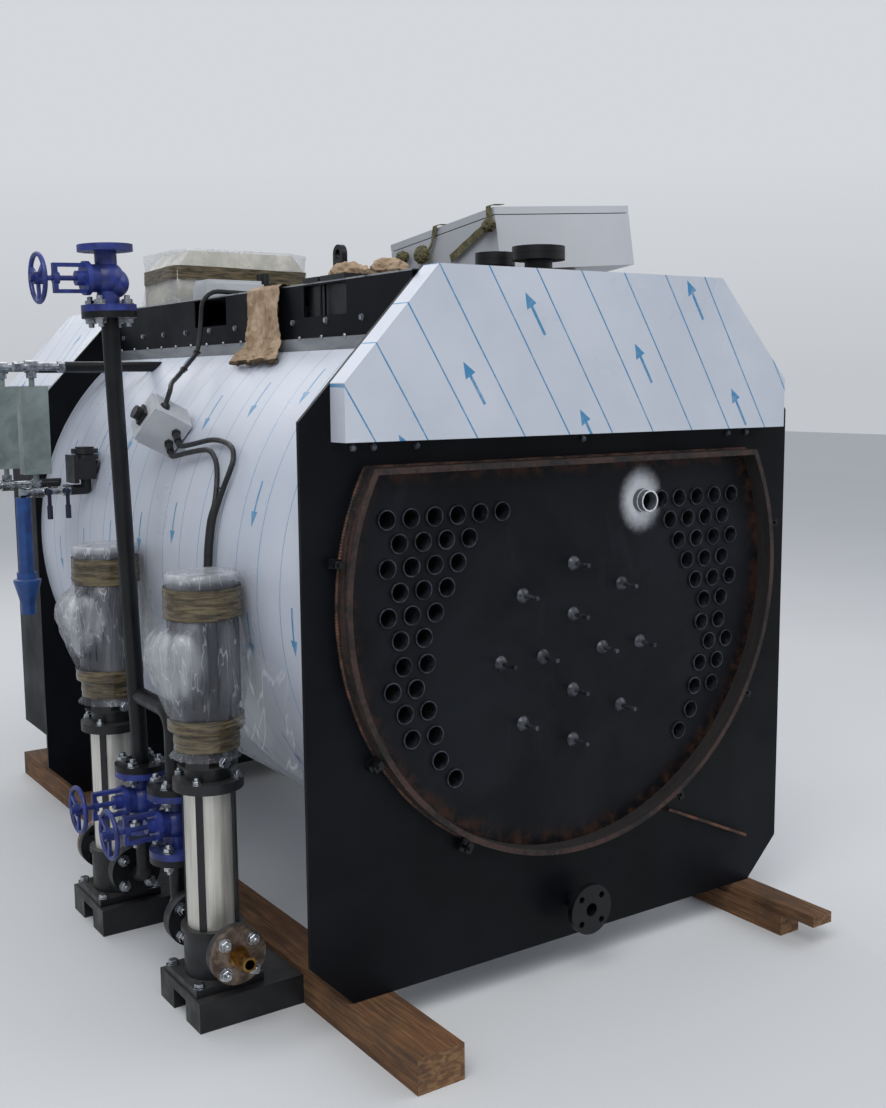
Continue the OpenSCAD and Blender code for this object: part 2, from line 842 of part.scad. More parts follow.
// Smooth route through points, with steps places from each point to the next
function route(p, steps) = concat(
    [for (i = [0 : len(p) - 2]) for (k = [0 : steps - 1]) curve_at(p, i, k / steps)],
    [p[len(p) - 1]]);

// Unit vector along v
function unit(v) = v / norm(v);

// Direction of a route at its place k
function heading(r, k) = unit(r[min(k + 1, len(r) - 1)] - r[max(k - 1, 0)]);

// Vector v without its part along the unit vector w
function square_to(v, w) = unit(v - w * (v * w));

// Round cable along a route, as one closed skin
module cable(points, steps) {
    r = route(points, steps);
    n = len(r);
    m = cable_sides;
    sides = [for (k = 0, u = square_to([0.3, 0.5, 0.8], heading(r, 0)); k < n;
            k = k + 1, u = square_to(u, heading(r, min(k, n - 1)))) u];
    skin = [for (k = [0 : n - 1])
        let (w = heading(r, k), u = square_to(sides[k], w), v = cross(w, u))
        for (j = [0 : m - 1]) r[k] + cable_r * (u * cos(360 * j / m) + v * sin(360 * j / m))];
    faces = concat(
        [[for (j = [0 : m - 1]) j]],
        [for (k = [0 : n - 2]) for (j = [0 : m - 1])
            [k * m + j, (k + 1) * m + j, (k + 1) * m + (j + 1) % m, k * m + (j + 1) % m]],
        [[for (j = [m - 1 : -1 : 0]) (n - 1) * m + j]]);
    polyhedron(points = skin, faces = faces, convexity = 10);
}

// Cables from the deck to the clad box and from there to the near pump's motor
module supply_cables() {
    color("#121317") {
        cable(deck_cable, 3);
        for (way = motor_cables)
            cable(way, 3);
    }
}

// Small junction box in front of the wrapped box
module deck_junction_box() {
    color("#9a9ea5")
        translate([deck_box_x1 - deck_box_l, deck_box_y, deck_top_z + seat]) {
            cube([deck_box_l, deck_box_w, deck_box_h]);
            translate([6, 6, deck_box_h - eps])
                cube([deck_box_l - 12, deck_box_w - 12, box_lid_t]);
        }
}

// Places children at the junction box: x into the shell, y away from the near plate, z up
module at_clad_box() {
    translate([0, clad_box_y, shell_z])
        rotate([0, clad_box_angle, 0])
            translate([-clad_r - clad_box_gap, 0, 0])
                rotate([clad_box_turn, 0, 0])
                    children();
}

// Junction box standing on the side of the cladding, with its two feet
module clad_junction_box() {
    color("#b9bcc2")
        at_clad_box() {
            translate([box_lid_t - clad_box_depth, 0, -clad_box_h / 2])
                cube([clad_box_depth - box_lid_t, clad_box_w, clad_box_h]);
            translate([-clad_box_depth, 3, 3 - clad_box_h / 2])
                cube([box_lid_t + eps, clad_box_w - 6, clad_box_h - 6]);
            for (z = [-1, 1])
                translate([-eps, clad_box_w / 2 - 10, z * clad_box_h / 4 - 6])
                    cube([clad_box_gap - seat, 20, 12]);
        }
}

// Half-round grommet where a cable enters a face that looks up
module grommet() {
    intersection() {
        sphere(r = gland_r + 4);
        translate([-gland_r - 4, -gland_r - 4, 0])
            cube(2 * (gland_r + 4));
    }
}

// Cable glands and the plug connector on the junction boxes
module box_glands() {
    color("#15161a") {
        at_clad_box() {
            for (z = [-gland_pitch / 2, gland_pitch / 2]) {
                y_rod(gland_r, -gland_l, 0, -clad_gland_x, z);
                y_rod(gland_r + 3, -12, 0, -clad_gland_x, z, $fn = 6);
            }
            translate([-top_gland_x, top_gland_y, clad_box_h / 2])
                grommet();
            translate([-clad_box_depth - 12, 24, -22])
                cube([12 - seat, 52, 44]);
            x_rod(20, -clad_box_depth - 30, -clad_box_depth - 12 + eps, 50, 0);
        }
        translate([deck_box_x1, deck_box_y, deck_top_z + seat]) {
            translate([seat, 14, 0])
                cube([46, 84, 66]);
            for (y = [34, 74])
                z_rod(13, 66 - eps, 104, 24, y);
            y_rod(gland_r, -14, 14 + eps, 26, 20);
        }
    }
}

// Cast base of a pump: foot, body and two flanged ports along Y
module pump_base(y) {
    color("#1b1d21")
        translate([-pump_x, y, 0])
            difference() {
                union() {
                    translate([-95, -100, skid_top_z + seat])
                        cube([190, 200, 22]);
                    z_rod(sleeve_r + 12, skid_top_z + seat + 10, pump_port_z + base_rise);
                    z_rod(sleeve_r + 18, pump_port_z + base_rise - 14, pump_port_z + base_rise);
                    y_rod(34, -pump_reach, pump_reach, 0, pump_port_z);
                    for (s = [-1, 1])
                        y_rod(flange_r, s < 0 ? -pump_reach : pump_reach - flange_t,
                            s < 0 ? -pump_reach + flange_t : pump_reach, 0, pump_port_z);
                }
                y_rod(flow_r, -pump_reach - 1, -pump_reach + 90, 0, pump_port_z);
                y_rod(flow_r, pump_reach - 90, pump_reach + 1, 0, pump_port_z);
                for (s = [-1, 1])
                    translate([0, s < 0 ? -pump_reach - 1 : pump_reach - flange_t - 1, pump_port_z])
                        rotate([-90, 0, 0])
                            bolt_holes(bolt_circle, flange_t + 2);
            }
}
module near_pump_base() { pump_base(pump_a_y); }
module far_pump_base() { pump_base(pump_b_y); }

// Stainless sleeve of a pump with its four tie straps
module pump_sleeve(y) {
    low = pump_port_z + base_rise;
    color("#b8bcc2")
        translate([-pump_x, y, 0]) {
            z_rod(sleeve_r, low, sleeve_top_z);
            for (k = [0 : 3])
                rotate([0, 0, 45 + 90 * k])
                    translate([sleeve_r + seat, -9, low])
                        cube([6, 18, sleeve_top_z - low]);
        }
}
module near_pump_sleeve() { pump_sleeve(pump_a_y); }
module far_pump_sleeve() { pump_sleeve(pump_b_y); }

// Cast head of a pump: lower flange, open lantern and motor flange
module pump_head(y) {
    color("#17191d")
        translate([-pump_x, y, 0])
            difference() {
                union() {
                    z_rod(92, sleeve_top_z, sleeve_top_z + 26);
                    z_rod(60, sleeve_top_z + 20, head_top_z - 10);
                    z_rod(78, sleeve_top_z + 62, head_top_z);
                    z_rod(92, head_top_z - 18, head_top_z);
                }
                for (a = [0, 90])
                    rotate([0, 0, a])
                        translate([-28, -100, sleeve_top_z + 66])
                            cube([56, 200, 70]);
            }
}
module near_pump_head() { pump_head(pump_a_y); }
module far_pump_head() { pump_head(pump_b_y); }

// Motor of a pump with its fan cowl
module pump_motor(y) {
    color("#8f949b")
        translate([-pump_x, y, 0]) {
            z_rod(motor_r - 6, head_top_z, motor_top_z - 84);
            z_rod(motor_r, motor_top_z - 90, motor_top_z - 14);
            translate([0, 0, motor_top_z - 14 - eps])
                cylinder(r1 = motor_r, r2 = motor_r - 16, h = 14);
            for (k = [0 : 23])
                rotate([0, 0, 15 * k])
                    translate([motor_r - 8, -2, head_top_z + 40])
                        cube([8, 4, motor_top_z - 90 - head_top_z - 40 + 1]);
        }
}
module near_pump_motor() { pump_motor(pump_a_y); }
module far_pump_motor() { pump_motor(pump_b_y); }

// Brass nipples screwed into the loose flanges on the pumps' suction sides
module suction_nipples() {
    color("#a67f3c")
        at_suctions()
            difference() {
                union() {
                    y_rod(nipple_r, -flange_t - 62, 60);
                    y_rod(24, -flange_t - 34, -flange_t - 6, $fn = 6);
                    y_rod(27, -flange_t - 6, -flange_t - seat);
                }
                y_rod(nipple_bore_r, -flange_t - 63, 61);
            }
}

// Bare steel flanges bolted on the pumps' suction sides
module suction_flanges() {
    color("#6d6a66")
        at_suctions()
            difference() {
                y_rod(flange_r, -flange_t, -seat);
                y_rod(nipple_r + seat, -flange_t - 1, 1);
                translate([0, -flange_t - 1, 0])
                    rotate([-90, 0, 0])
                        bolt_holes(bolt_circle, flange_t + 2);
            }
}

// Places children at both suction flange faces, -Y away from the pump
module at_suctions() {
    translate([-pump_x, pump_a_y - pump_reach, pump_port_z])
        children();
    translate([-pump_x, pump_b_y + pump_reach, pump_port_z])
        rotate([0, 0, 180])
            children();
}

// Bend and upright between a pump's delivery flange and its valve, s is the way along Y
module delivery(y, s) {
    start = y + s * pump_reach;
    bend_start = start + s * (flange_t + 15);
    color("#131519")
        difference() {
            union() {
                translate([-pump_x, 0, 0])
                    y_span_rod(flange_r, start, start + s * flange_t, pump_port_z);
                translate([-pump_x, 0, 0])
                    y_span_rod(pipe_r, start, bend_start, pump_port_z);
                translate([-pump_x, bend_start, pump_port_z])
                    foot_bend(s, pipe_r);
                z_rod(pipe_r, pump_port_z + pipe_bend, valve_low_z, -pump_x, bend_start + s * pipe_bend);
                z_rod(flange_r, valve_low_z - flange_t, valve_low_z, -pump_x, bend_start + s * pipe_bend);
            }
            translate([-pump_x, 0, 0])
                y_span_rod(pipe_r - pipe_wall, start - s, bend_start, pump_port_z);
            translate([-pump_x, bend_start, pump_port_z])
                foot_bend(s, pipe_r - pipe_wall);
            z_rod(pipe_r - pipe_wall, pump_port_z + pipe_bend, valve_low_z + 1, -pump_x,
                bend_start + s * pipe_bend);
            translate([-pump_x, min(start, start + s * flange_t) - 1, pump_port_z])
                rotate([-90, 0, 0])
                    bolt_holes(bolt_circle, flange_t + 2);
            translate([-pump_x, bend_start + s * pipe_bend, valve_low_z - flange_t - 1])
                bolt_holes(bolt_circle, flange_t + 2);
        }
}

// Rod along Y between two places given in either order
module y_span_rod(r, ya, yb, z) {
    y_rod(r, min(ya, yb), max(ya, yb), 0, z);
}

// Round section of radius r swept through the quarter bend from along Y to upwards
module foot_bend(s, r) {
    translate([0, 0, pipe_bend])
        rotate([0, -90, 0])
            rotate([0, 0, s > 0 ? 90 : 180])
                rotate_extrude(angle = 90)
                    translate([pipe_bend, 0])
                        circle(r = r);
}
module near_delivery() { delivery(pump_a_y, 1); }
module far_delivery() { delivery(pump_b_y, -1); }

// Stands what its children are on the riser's leaning line
module lean_riser() {
    translate([-pump_x, far_line_y, valve_high_z])
        rotate([0, -riser_lean, 0])
            children();
}

// Riser from the far valve to the top valve
module feed_riser() {
    color("#111317")
        difference() {
            union() {
                z_rod(flange_r, valve_high_z, riser_foot_z, -pump_x, far_line_y);
                lean_riser() {
                    z_rod(pipe_r, flange_t / 2, riser_l);
                    z_rod(flange_r, riser_l - flange_t, riser_l);
                }
            }
            lean_riser()
                z_rod(pipe_r - pipe_wall, -flange_t, riser_l + 1);
            translate([-pump_x, far_line_y, valve_high_z - 1])
                bolt_holes(bolt_circle, flange_t + 2);
        }
}

// Branch from the near valve, bent over to meet the riser
module near_branch() {
    color("#111317")
        difference() {
            union() {
                z_rod(flange_r, valve_high_z, riser_foot_z, -pump_x, near_line_y);
                z_rod(pipe_r, valve_high_z, branch_z - pipe_bend, -pump_x, near_line_y);
                translate([-pump_x, near_line_y, branch_z - pipe_bend])
                    over_bend(pipe_r);
                y_rod(pipe_r, near_line_y + pipe_bend, far_line_y - 5, -pump_x, branch_z);
            }
            z_rod(pipe_r - pipe_wall, valve_high_z - 1, branch_z - pipe_bend, -pump_x, near_line_y);
            translate([-pump_x, near_line_y, branch_z - pipe_bend])
                over_bend(pipe_r - pipe_wall);
            y_rod(pipe_r - pipe_wall, near_line_y + pipe_bend, far_line_y + 1, -pump_x, branch_z);
            translate([-pump_x, near_line_y, valve_high_z - 1])
                bolt_holes(bolt_circle, flange_t + 2);
            lean_riser()
                z_rod(pipe_r, 0, riser_l);
        }
}

// Quarter bend from upwards to along +Y
module over_bend(r) {
    translate([0, pipe_bend, 0])
        rotate([0, -90, 0])
            rotate([0, 0, -90])
                rotate_extrude(angle = 90)
                    translate([pipe_bend, 0])
                        circle(r = r);
}

// Flanged globe valve, flow along Z, handwheel towards -X, centred on its own origin;
// the holes of a foot flange that its studs fill are left out
module valve_body(foot_holes) {
    difference() {
        union() {
            for (s = [-1, 1])
                z_rod(flange_r, s < 0 ? -valve_half : valve_half - flange_t,
                    s < 0 ? -valve_half + flange_t : valve_half);
            z_rod(30, -valve_half + 2, valve_half - 2);
            sphere(r = 47);
            translate([belly_out, 0, -belly_out * 0.7])
                sphere(r = 42);
            x_rod(38, -bonnet_end, 0);
            x_rod(46, -bonnet_end, -bonnet_end + 14);
            for (s = [-1, 1])
                translate([-yoke_end, -9, s < 0 ? -40 : 30])
                    cube([yoke_end - bonnet_end + 1, 18, 10]);
            translate([-yoke_end, -9, -40])
                cube([12, 18, 80]);
            x_rod(16, -yoke_end, -yoke_end + yoke_boss);
            x_rod(20, -bonnet_end - 22, -bonnet_end + 1);
        }
        z_rod(flow_r, -valve_half - 1, valve_half + 1);
        x_rod(stem_r + stem_gap, -yoke_end - 1, -bonnet_end + 20);
        translate([0, 0, valve_half - flange_t - 1])
            bolt_holes(bolt_circle, flange_t + 2);
        if (foot_holes)
            translate([0, 0, -valve_half - 1])
                bolt_holes(bolt_circle, flange_t + 2);
    }
}
module near_valve() {
    color("#24357d")
        translate([-pump_x, near_line_y, valve_z])
            valve_body(true);
}
module far_valve() {
    color("#24357d")
        translate([-pump_x, far_line_y, valve_z])
            valve_body(true);
}
module top_valve() {
    color("#24357d")
        lean_riser()
            translate([0, 0, top_valve_z - valve_high_z])
                valve_body(false);
}

// Handwheel with three spokes, its hub, stem and nut, on the valve's own origin
module handwheel_at_axis() {
    translate([-wheel_reach, 0, 0])
        rotate([0, 90, 0]) {
            rotate_extrude($fn = 72)
                translate([wheel_r, 0])
                    circle(r = wheel_rim, $fn = 20);
            for (k = [0 : 2])
                rotate([0, 0, 120 * k])
                    translate([10, -6, -4])
                        cube([wheel_r - 12, 12, 8]);
            translate([0, 0, -12])
                cylinder(r = 17, h = 24);
        }
    x_rod(stem_r, -wheel_reach, -bonnet_end + 18);
    x_rod(11, -wheel_reach - 22, -wheel_reach - 12 + eps, $fn = 6);
}
module near_handwheel() {
    color("#2b3f8c")
        translate([-pump_x, near_line_y, valve_z])
            handwheel_at_axis();
}
module far_handwheel() {
    color("#2b3f8c")
        translate([-pump_x, far_line_y, valve_z])
            handwheel_at_axis();
}
module top_handwheel() {
    color("#2b3f8c")
        lean_riser()
            translate([0, 0, top_valve_z - valve_high_z])
                handwheel_at_axis();
}

// Reach of the cladding from the centre plane at a height
function clad_x(z) = sqrt(clad_r * clad_r - (z - shell_z) * (z - shell_z));

// Block of a reflex level gauge with its cover rib
module gauge_block(y) {
    translate([-gauge_x, y, 0]) {
        translate([-gauge_w / 2, -gauge_d / 2, gauge_low_z])
            cube([gauge_w, gauge_d, gauge_high_z - gauge_low_z]);
        z_rod(9, gauge_low_z - 22, gauge_low_z + 1);
        z_rod(9, gauge_high_z - 1, gauge_high_z + 26);
    }
}

// Two reflex level gauges side by side along the shell
module level_gauges() {
    color("#8fa39a") {
        gauge_block(gauge_a_y);
        gauge_block(gauge_b_y);
    }
}

// Black pipes from the shell to the gauge cocks
module gauge_pipes() {
    color("#131519")
        for (y = [gauge_a_y, gauge_b_y]) {
            difference() {
                x_rod(gauge_pipe_r, -cock_in_x, 0, y, gauge_up_z);
                y_rod(clad_r + seat, 0, plate_gap, 0, shell_z, $fn = 180);
            }
            if (y == gauge_b_y)
                difference() {
                    x_rod(gauge_pipe_r, -cock_in_x, 0, y, gauge_down_z);
                    y_rod(clad_r + seat, 0, plate_gap, 0, shell_z, $fn = 180);
                }
        }
}

// Silver cocks above and below each gauge
module gauge_cocks() {
    color("#b5b8bd")
        difference() {
            union() {
                for (y = [gauge_a_y, gauge_b_y])
                    for (z = [gauge_down_z, gauge_up_z])
                        gauge_cock(y, z, z > gauge_low_z ? -1 : 1);
                for (x = [lever_left_x, lever_right_x])
                    y_rod(12, gauge_a_y - 34, gauge_a_y, -x, gauge_down_z);
            }
            for (x = [lever_left_x, lever_right_x])
                y_rod(spindle_r + stem_gap, gauge_a_y - 35, gauge_a_y - 16, -x, gauge_down_z);
        }
}

// One cock: body along X, a branch to the gauge and bolt-like ends, up is the way to the gauge
module gauge_cock(y, z, up) {
    gauge_end = up > 0 ? gauge_low_z - 22 : gauge_high_z + 26;
    x_rod(13, -gauge_x - 56, -cock_in_x, y, z);
    x_rod(19, -cock_in_x - 22, -cock_in_x, y, z, $fn = 6);
    x_rod(gauge_nut_r, -gauge_x - 56, -gauge_x - 36, y, z, $fn = 6);
    x_rod(20, -gauge_x - 20, -gauge_x + 20, y, z);
    z_rod(14, min(z, gauge_end), max(z, gauge_end), -gauge_x, y);
    z_rod(gauge_nut_r, gauge_end - (up > 0 ? 16 : 0), gauge_end + (up > 0 ? 0 : 16), -gauge_x, y, $fn = 6);
}

// Black isolating casting between the shell and the near gauge's lower cock
module level_casting() {
    color("#17191c")
        difference() {
            union() {
                translate([-casting_x, gauge_a_y, casting_z]) {
                    translate([-38, -42, -34])
                        cube([60, 84, 68]);
                    z_rod(44, 30, 46);
                    z_rod(44, 50, 66);
                    z_rod(30, 20, 72);
                    translate([-52, -44, -46])
                        cube([16, 88, 92]);
                }
                x_rod(26, -casting_x, -clad_x(casting_z) + 30, gauge_a_y, casting_z);
                x_rod(gauge_pipe_r, -cock_in_x, -casting_x, gauge_a_y, gauge_down_z);
                z_rod(gauge_pipe_r, gauge_down_z, casting_z, -casting_x, gauge_a_y);
                translate([-casting_x, gauge_a_y, gauge_down_z])
                    sphere(r = gauge_pipe_r);
            }
            y_rod(clad_r + seat, 0, plate_gap, 0, shell_z, $fn = 180);
        }
}

// Drain under the near gauge: wide pipe and the open funnel below it
module gauge_drain() {
    color("#2a3f8f")
        translate([-gauge_x - 46, gauge_a_y, 0]) {
            z_rod(gauge_drain_r, funnel_top_z + 8, gauge_down_z - gauge_nut_r - seat);
            rotate_extrude()
                polygon([
                    [gauge_drain_r - 4, funnel_low_z], [gauge_drain_r - 1, funnel_low_z],
                    [gauge_drain_r, funnel_low_z + 34], [funnel_r, funnel_top_z - 14],
                    [funnel_r, funnel_top_z - 8], [gauge_drain_r + 8, funnel_top_z - 4],
                    [gauge_drain_r + 8, funnel_top_z + 16], [gauge_drain_r + seat, funnel_top_z + 16],
                    [gauge_drain_r + seat, funnel_top_z - 8], [funnel_r - 4, funnel_top_z - 12],
                    [funnel_r - 4, funnel_top_z - 14], [gauge_drain_r - 4, funnel_low_z + 36]
                ]);
        }
}

// Lever with a grip, turning about a line along Y through its pivot
module cock_lever(x) {
    translate([-x, gauge_a_y, gauge_down_z]) {
        y_rod(spindle_r, -52, -18);
        y_rod(10, -52, -44);
        translate([-6, -50, -50])
            cube([12, 4, 50]);
        z_rod(9, -lever_l, -44, 0, -48);
    }
}
module cock_lever_left() { color("#1d2c63") cock_lever(lever_left_x); }
module cock_lever_right() { color("#1d2c63") cock_lever(lever_right_x); }

// Skids under the pumps: a top plate on two wide legs, each hollow from below
module pump_skids() {
    skid_l = pump_x + skid_out - timber_x - timber_w - seat;
    leg_w = (skid_w - skid_slot_w) / 2;
    color("#14161a")
        for (y = [pump_a_y, pump_b_y])
            translate([-pump_x - skid_out, y - skid_w / 2, ground_z])
                difference() {
                    cube([skid_l, skid_w, skid_h]);
                    translate([-1, leg_w, -1])
                        cube([skid_l + 2, skid_slot_w, skid_slot_h + 1]);
                    for (leg_y = [0, leg_w + skid_slot_w])
                        translate([skid_wall, leg_y + skid_wall, -1])
                            cube([skid_l - 2 * skid_wall, leg_w - 2 * skid_wall, skid_slot_h + 1]);
                }
}

// Transport timber under the left side
module left_timber() {
    color("#9b8a72")
        translate([-timber_x - timber_w, -timber_front, ground_z])
            cube([timber_w, timber_l, timber_h]);
}

// Plank on a lower bearer under the right side
module right_timber() {
    color("#8d8274") {
        translate([plank_x, -timber_front, -plank_t])
            cube([plank_w, timber_l, plank_t]);
        translate([plank_x - 12, -timber_front + bearer_back, ground_z])
            cube([plank_w, timber_l - bearer_back, timber_h - plank_t - seat]);
    }
}

near_end_plate();
smokebox_rim();
rim_clips();
tube_plate();
fire_tubes();
wall_studs();
test_collar();
drain_flange();
drip_ledge();
near_hood();
pressure_shell();
cladding();
far_end_plate();
rear_casing();
rear_hood();
deck_plate();
deck_side_panels();
deck_base_strips();
top_nozzles();
lifting_lug();
control_cabinet();
cabinet_door();
cabinet_packers();
wrapped_box();
deck_blocks();
deck_junction_box();
clad_junction_box();
box_glands();
supply_cables();
near_pump_base();
near_pump_sleeve();
near_pump_head();
near_pump_motor();
far_pump_base();
far_pump_sleeve();
far_pump_head();
far_pump_motor();
suction_flanges();
suction_nipples();
near_delivery();
far_delivery();
near_branch();
feed_riser();
near_valve();
far_valve();
top_valve();
near_handwheel();
far_handwheel();
top_handwheel();
level_gauges();
gauge_pipes();
gauge_cocks();
level_casting();
gauge_drain();
cock_lever_left();
cock_lever_right();
pump_skids();
left_timber();
right_timber();
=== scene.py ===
"""Looks of the industrial boiler: finishes, protective film, wraps, bolts, straps and small trim.

Lengths are in metres, except the widths and depths of patterns, which are in millimetres.
"""

import logging
import math
from contextlib import contextmanager
from dataclasses import dataclass
from enum import Enum
from typing import Any, Callable, Iterable, Iterator, Optional, Sequence, Union

import bmesh
import bpy
from mathutils import Matrix, Vector, noise


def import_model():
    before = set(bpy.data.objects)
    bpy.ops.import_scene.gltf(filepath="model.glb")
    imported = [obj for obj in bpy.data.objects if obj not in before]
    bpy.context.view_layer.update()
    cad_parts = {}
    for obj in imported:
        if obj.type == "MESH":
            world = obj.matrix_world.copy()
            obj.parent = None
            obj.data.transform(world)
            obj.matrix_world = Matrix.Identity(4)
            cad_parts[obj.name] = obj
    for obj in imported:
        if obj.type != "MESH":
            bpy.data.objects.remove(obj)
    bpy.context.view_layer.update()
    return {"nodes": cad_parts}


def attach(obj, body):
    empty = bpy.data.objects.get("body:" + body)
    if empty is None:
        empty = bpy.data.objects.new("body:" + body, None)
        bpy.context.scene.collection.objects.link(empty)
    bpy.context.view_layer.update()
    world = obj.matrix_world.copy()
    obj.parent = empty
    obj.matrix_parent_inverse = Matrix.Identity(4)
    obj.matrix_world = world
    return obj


LOG = logging.getLogger("boiler")
MM = 0.001
ROOT = "boiler"
Place = tuple[float, float, float]

GROUND_Z = -0.092
AXIS_Z = 1.0  # height of the shell's and the rim's centre
PUMP_X = -0.920
NEAR_Y, FAR_Y = 0.370, 1.080  # the pumps' places along the shell
BOLT_CIRCLE = 0.055  # radius, on every pipe flange
RIGHT, BACK, UP = Vector((1, 0, 0)), Vector((0, 1, 0)), Vector((0, 0, 1))


# Shader nodes


def linear(hex_colour: str) -> tuple[float, float, float, float]:
    """Turns an sRGB hex colour to linear.

    Args:
        hex_colour: six hex digits, with or without a leading hash.

    Returns:
        Linear red, green and blue, with alpha 1.
    """
    digits = hex_colour.lstrip("#")
    srgb = [int(digits[i : i + 2], 16) / 255 for i in (0, 2, 4)]
    rgb = [c / 12.92 if c <= 0.04045 else ((c + 0.055) / 1.055) ** 2.4 for c in srgb]
    return (rgb[0], rgb[1], rgb[2], 1.0)


def node(
    tree: bpy.types.NodeTree,
    kind: str,
    settings: Optional[dict[str, Any]] = None,
    inputs: Optional[dict[Union[str, int], "Value"]] = None,
) -> bpy.types.Node:
    """Adds one shader node with its settings and links.

    Args:
        tree: the node tree.
        kind: the node's type name without the word ShaderNode.
        settings: attributes to set on the node.
        inputs: hex colours, values, signals or sockets for its inputs, by name or number.

    Returns:
        The new node.
    """
    made = tree.nodes.new("ShaderNode" + kind)
    for key, value in (settings or {}).items():
        setattr(made, key, value)
    for key, value in (inputs or {}).items():
        value = value.socket if isinstance(value, Signal) else value
        if isinstance(value, bpy.types.NodeSocket):
            tree.links.new(value, made.inputs[key])
        else:
            made.inputs[key].default_value = linear(value) if isinstance(value, str) else value
    return made


class Signal:
    """A value in a shader that can be reckoned with like a number."""

    def __init__(self, graph: "Graph", socket: bpy.types.NodeSocket) -> None:
        """Keeps the socket that carries the value, and its graph."""
        self.graph = graph
        self.socket = socket

    def __add__(self, other: "Value") -> "Signal":
        """Returns the sum."""
        return self.graph.math("ADD", self, other)

    def __sub__(self, other: "Value") -> "Signal":
        """Returns the difference."""
        return self.graph.math("SUBTRACT", self, other)

    def __rsub__(self, other: float) -> "Signal":
        """Returns a number less this value."""
        return self.graph.math("SUBTRACT", other, self)

    def __mul__(self, other: "Value") -> "Signal":
        """Returns the product."""
        return self.graph.math("MULTIPLY", self, other)

    def __truediv__(self, other: float) -> "Signal":
        """Returns the quotient."""
        return self.graph.math("DIVIDE", self, other)

    def __abs__(self) -> "Signal":
        """Returns the value without its sign."""
        return self.graph.math("ABSOLUTE", self)

    def __gt__(self, other: "Value") -> "Signal":
        """Returns 1 where this is the greater, else 0."""
        return self.graph.math("GREATER_THAN", self, other)

    def __lt__(self, other: "Value") -> "Signal":
        """Returns 1 where this is the lesser, else 0."""
        return self.graph.math("LESS_THAN", self, other)


Value = Union[str, float, Sequence[float], Signal, bpy.types.NodeSocket]


class Graph:
    """A material's node tree with short names for what every finish uses."""

    def __init__(self, name: str) -> None:
        """Starts an empty material of that name."""
        self.material = bpy.data.materials.new(name)
        self.material.use_nodes = True
        self.tree = self.material.node_tree
        self.tree.nodes.clear()
        coords = node(self.tree, "TexCoord")
        self.place = Signal(self, coords.outputs["Object"])
        self.normal = Signal(self, coords.outputs["Normal"])

    def math(self, operation: str, a: Value, b: Value = 0.0) -> Signal:
        """Adds a math step and returns its result."""
        return Signal(self, node(self.tree, "Math", {"operation": operation}, {0: a, 1: b, 2: 0.0}).outputs[0])

    def length(self, a: Signal, b: Signal) -> Signal:
        """Returns the length of the way with these two sides."""
        return self.math("SQRT", self.math("POWER", a, 2.0) + self.math("POWER", b, 2.0))

    def axes(self, vector: Optional[Signal] = None) -> list[Signal]:
        """Splits a vector, by default the place on the object, into X, Y and Z."""
        made = node(self.tree, "SeparateXYZ", inputs={0: vector or self.place})
        return [Signal(self, made.outputs[i]) for i in range(3)]

    def noise(self, size_mm: float, detail: float = 4.0, rough: float = 0.55,
              stretch: Optional[Place] = None, warp: float = 0.0) -> Signal:
        """Adds noise whose blotches are about size_mm across.

        Args:
            size_mm: width of one blotch.
            detail: octaves.
            rough: share of the finer octaves.
            stretch: scale of the pattern along X, Y and Z.
            warp: distortion.

        Returns:
            The noise's value from 0 to 1.
        """
        vector: Value = self.place
        if stretch:
            vector = node(self.tree, "Mapping", inputs={"Vector": vector, "Scale": stretch}).outputs[0]
        made = node(self.tree, "TexNoise", inputs={
            "Vector": vector, "Scale": 1 / (size_mm * MM * 2), "Detail": detail, "Roughness": rough,
            "Distortion": warp})
        return Signal(self, made.outputs["Fac"])

    def span(self, value: Value, low: float, high: float, to_low: float = 0.0, to_high: float = 1.0,
             smooth: bool = True) -> Signal:
        """Maps a value from one span to another, clamped.

        Args:
            value: what is mapped.
            low, high: the span that it comes from.
            to_low, to_high: the span that it goes to.
            smooth: whether its ends are soft.

        Returns:
            The mapped value.
        """
        made = node(self.tree, "MapRange",
                    {"interpolation_type": "SMOOTHSTEP" if smooth else "LINEAR", "clamp": True},
                    {"Value": value, "From Min": low, "From Max": high, "To Min": to_low, "To Max": to_high})
        return Signal(self, made.outputs[0])

    def choose(self, share: Value, a: Value, b: Value) -> Signal:
        """Mixes two numbers by share."""
        return Signal(self, node(self.tree, "Mix", inputs={0: share, 2: a, 3: b}).outputs[0])

    def mix(self, share: Value, a: Value, b: Value) -> Signal:
        """Mixes two colours by share."""
        return Signal(self, node(self.tree, "Mix", {"data_type": "RGBA"}, {0: share, 6: a, 7: b}).outputs[2])

    def bump(self, height: Value, depth_mm: float, strength: float = 1.0,
             base: Optional[Signal] = None) -> Signal:
        """Adds relief.

        Args:
            height: the relief, from 0 to 1.
            depth_mm: how deep it is.
            strength: share of it that shows.
            base: the normal that it lies on, if not the surface's own.

        Returns:
            The new normal.
        """
        inputs: dict[Union[str, int], Value] = {
            "Height": height, "Distance": depth_mm * MM, "Strength": strength}
        if base is not None:
            inputs["Normal"] = base
        return Signal(self, node(self.tree, "Bump", inputs=inputs).outputs[0])

    def close(self, **sockets: Value) -> bpy.types.Material:
        """Ends the tree with one surface shader.

        Args:
            sockets: its inputs, with underscores for spaces.

        Returns:
            The finished material.
        """
        inputs = {key.replace("_", " "): value for key, value in sockets.items()}
        shader = node(self.tree, "BsdfPrincipled", inputs=inputs)
        node(self.tree, "OutputMaterial", inputs={0: shader.outputs[0]})
        return self.material


# Finishes


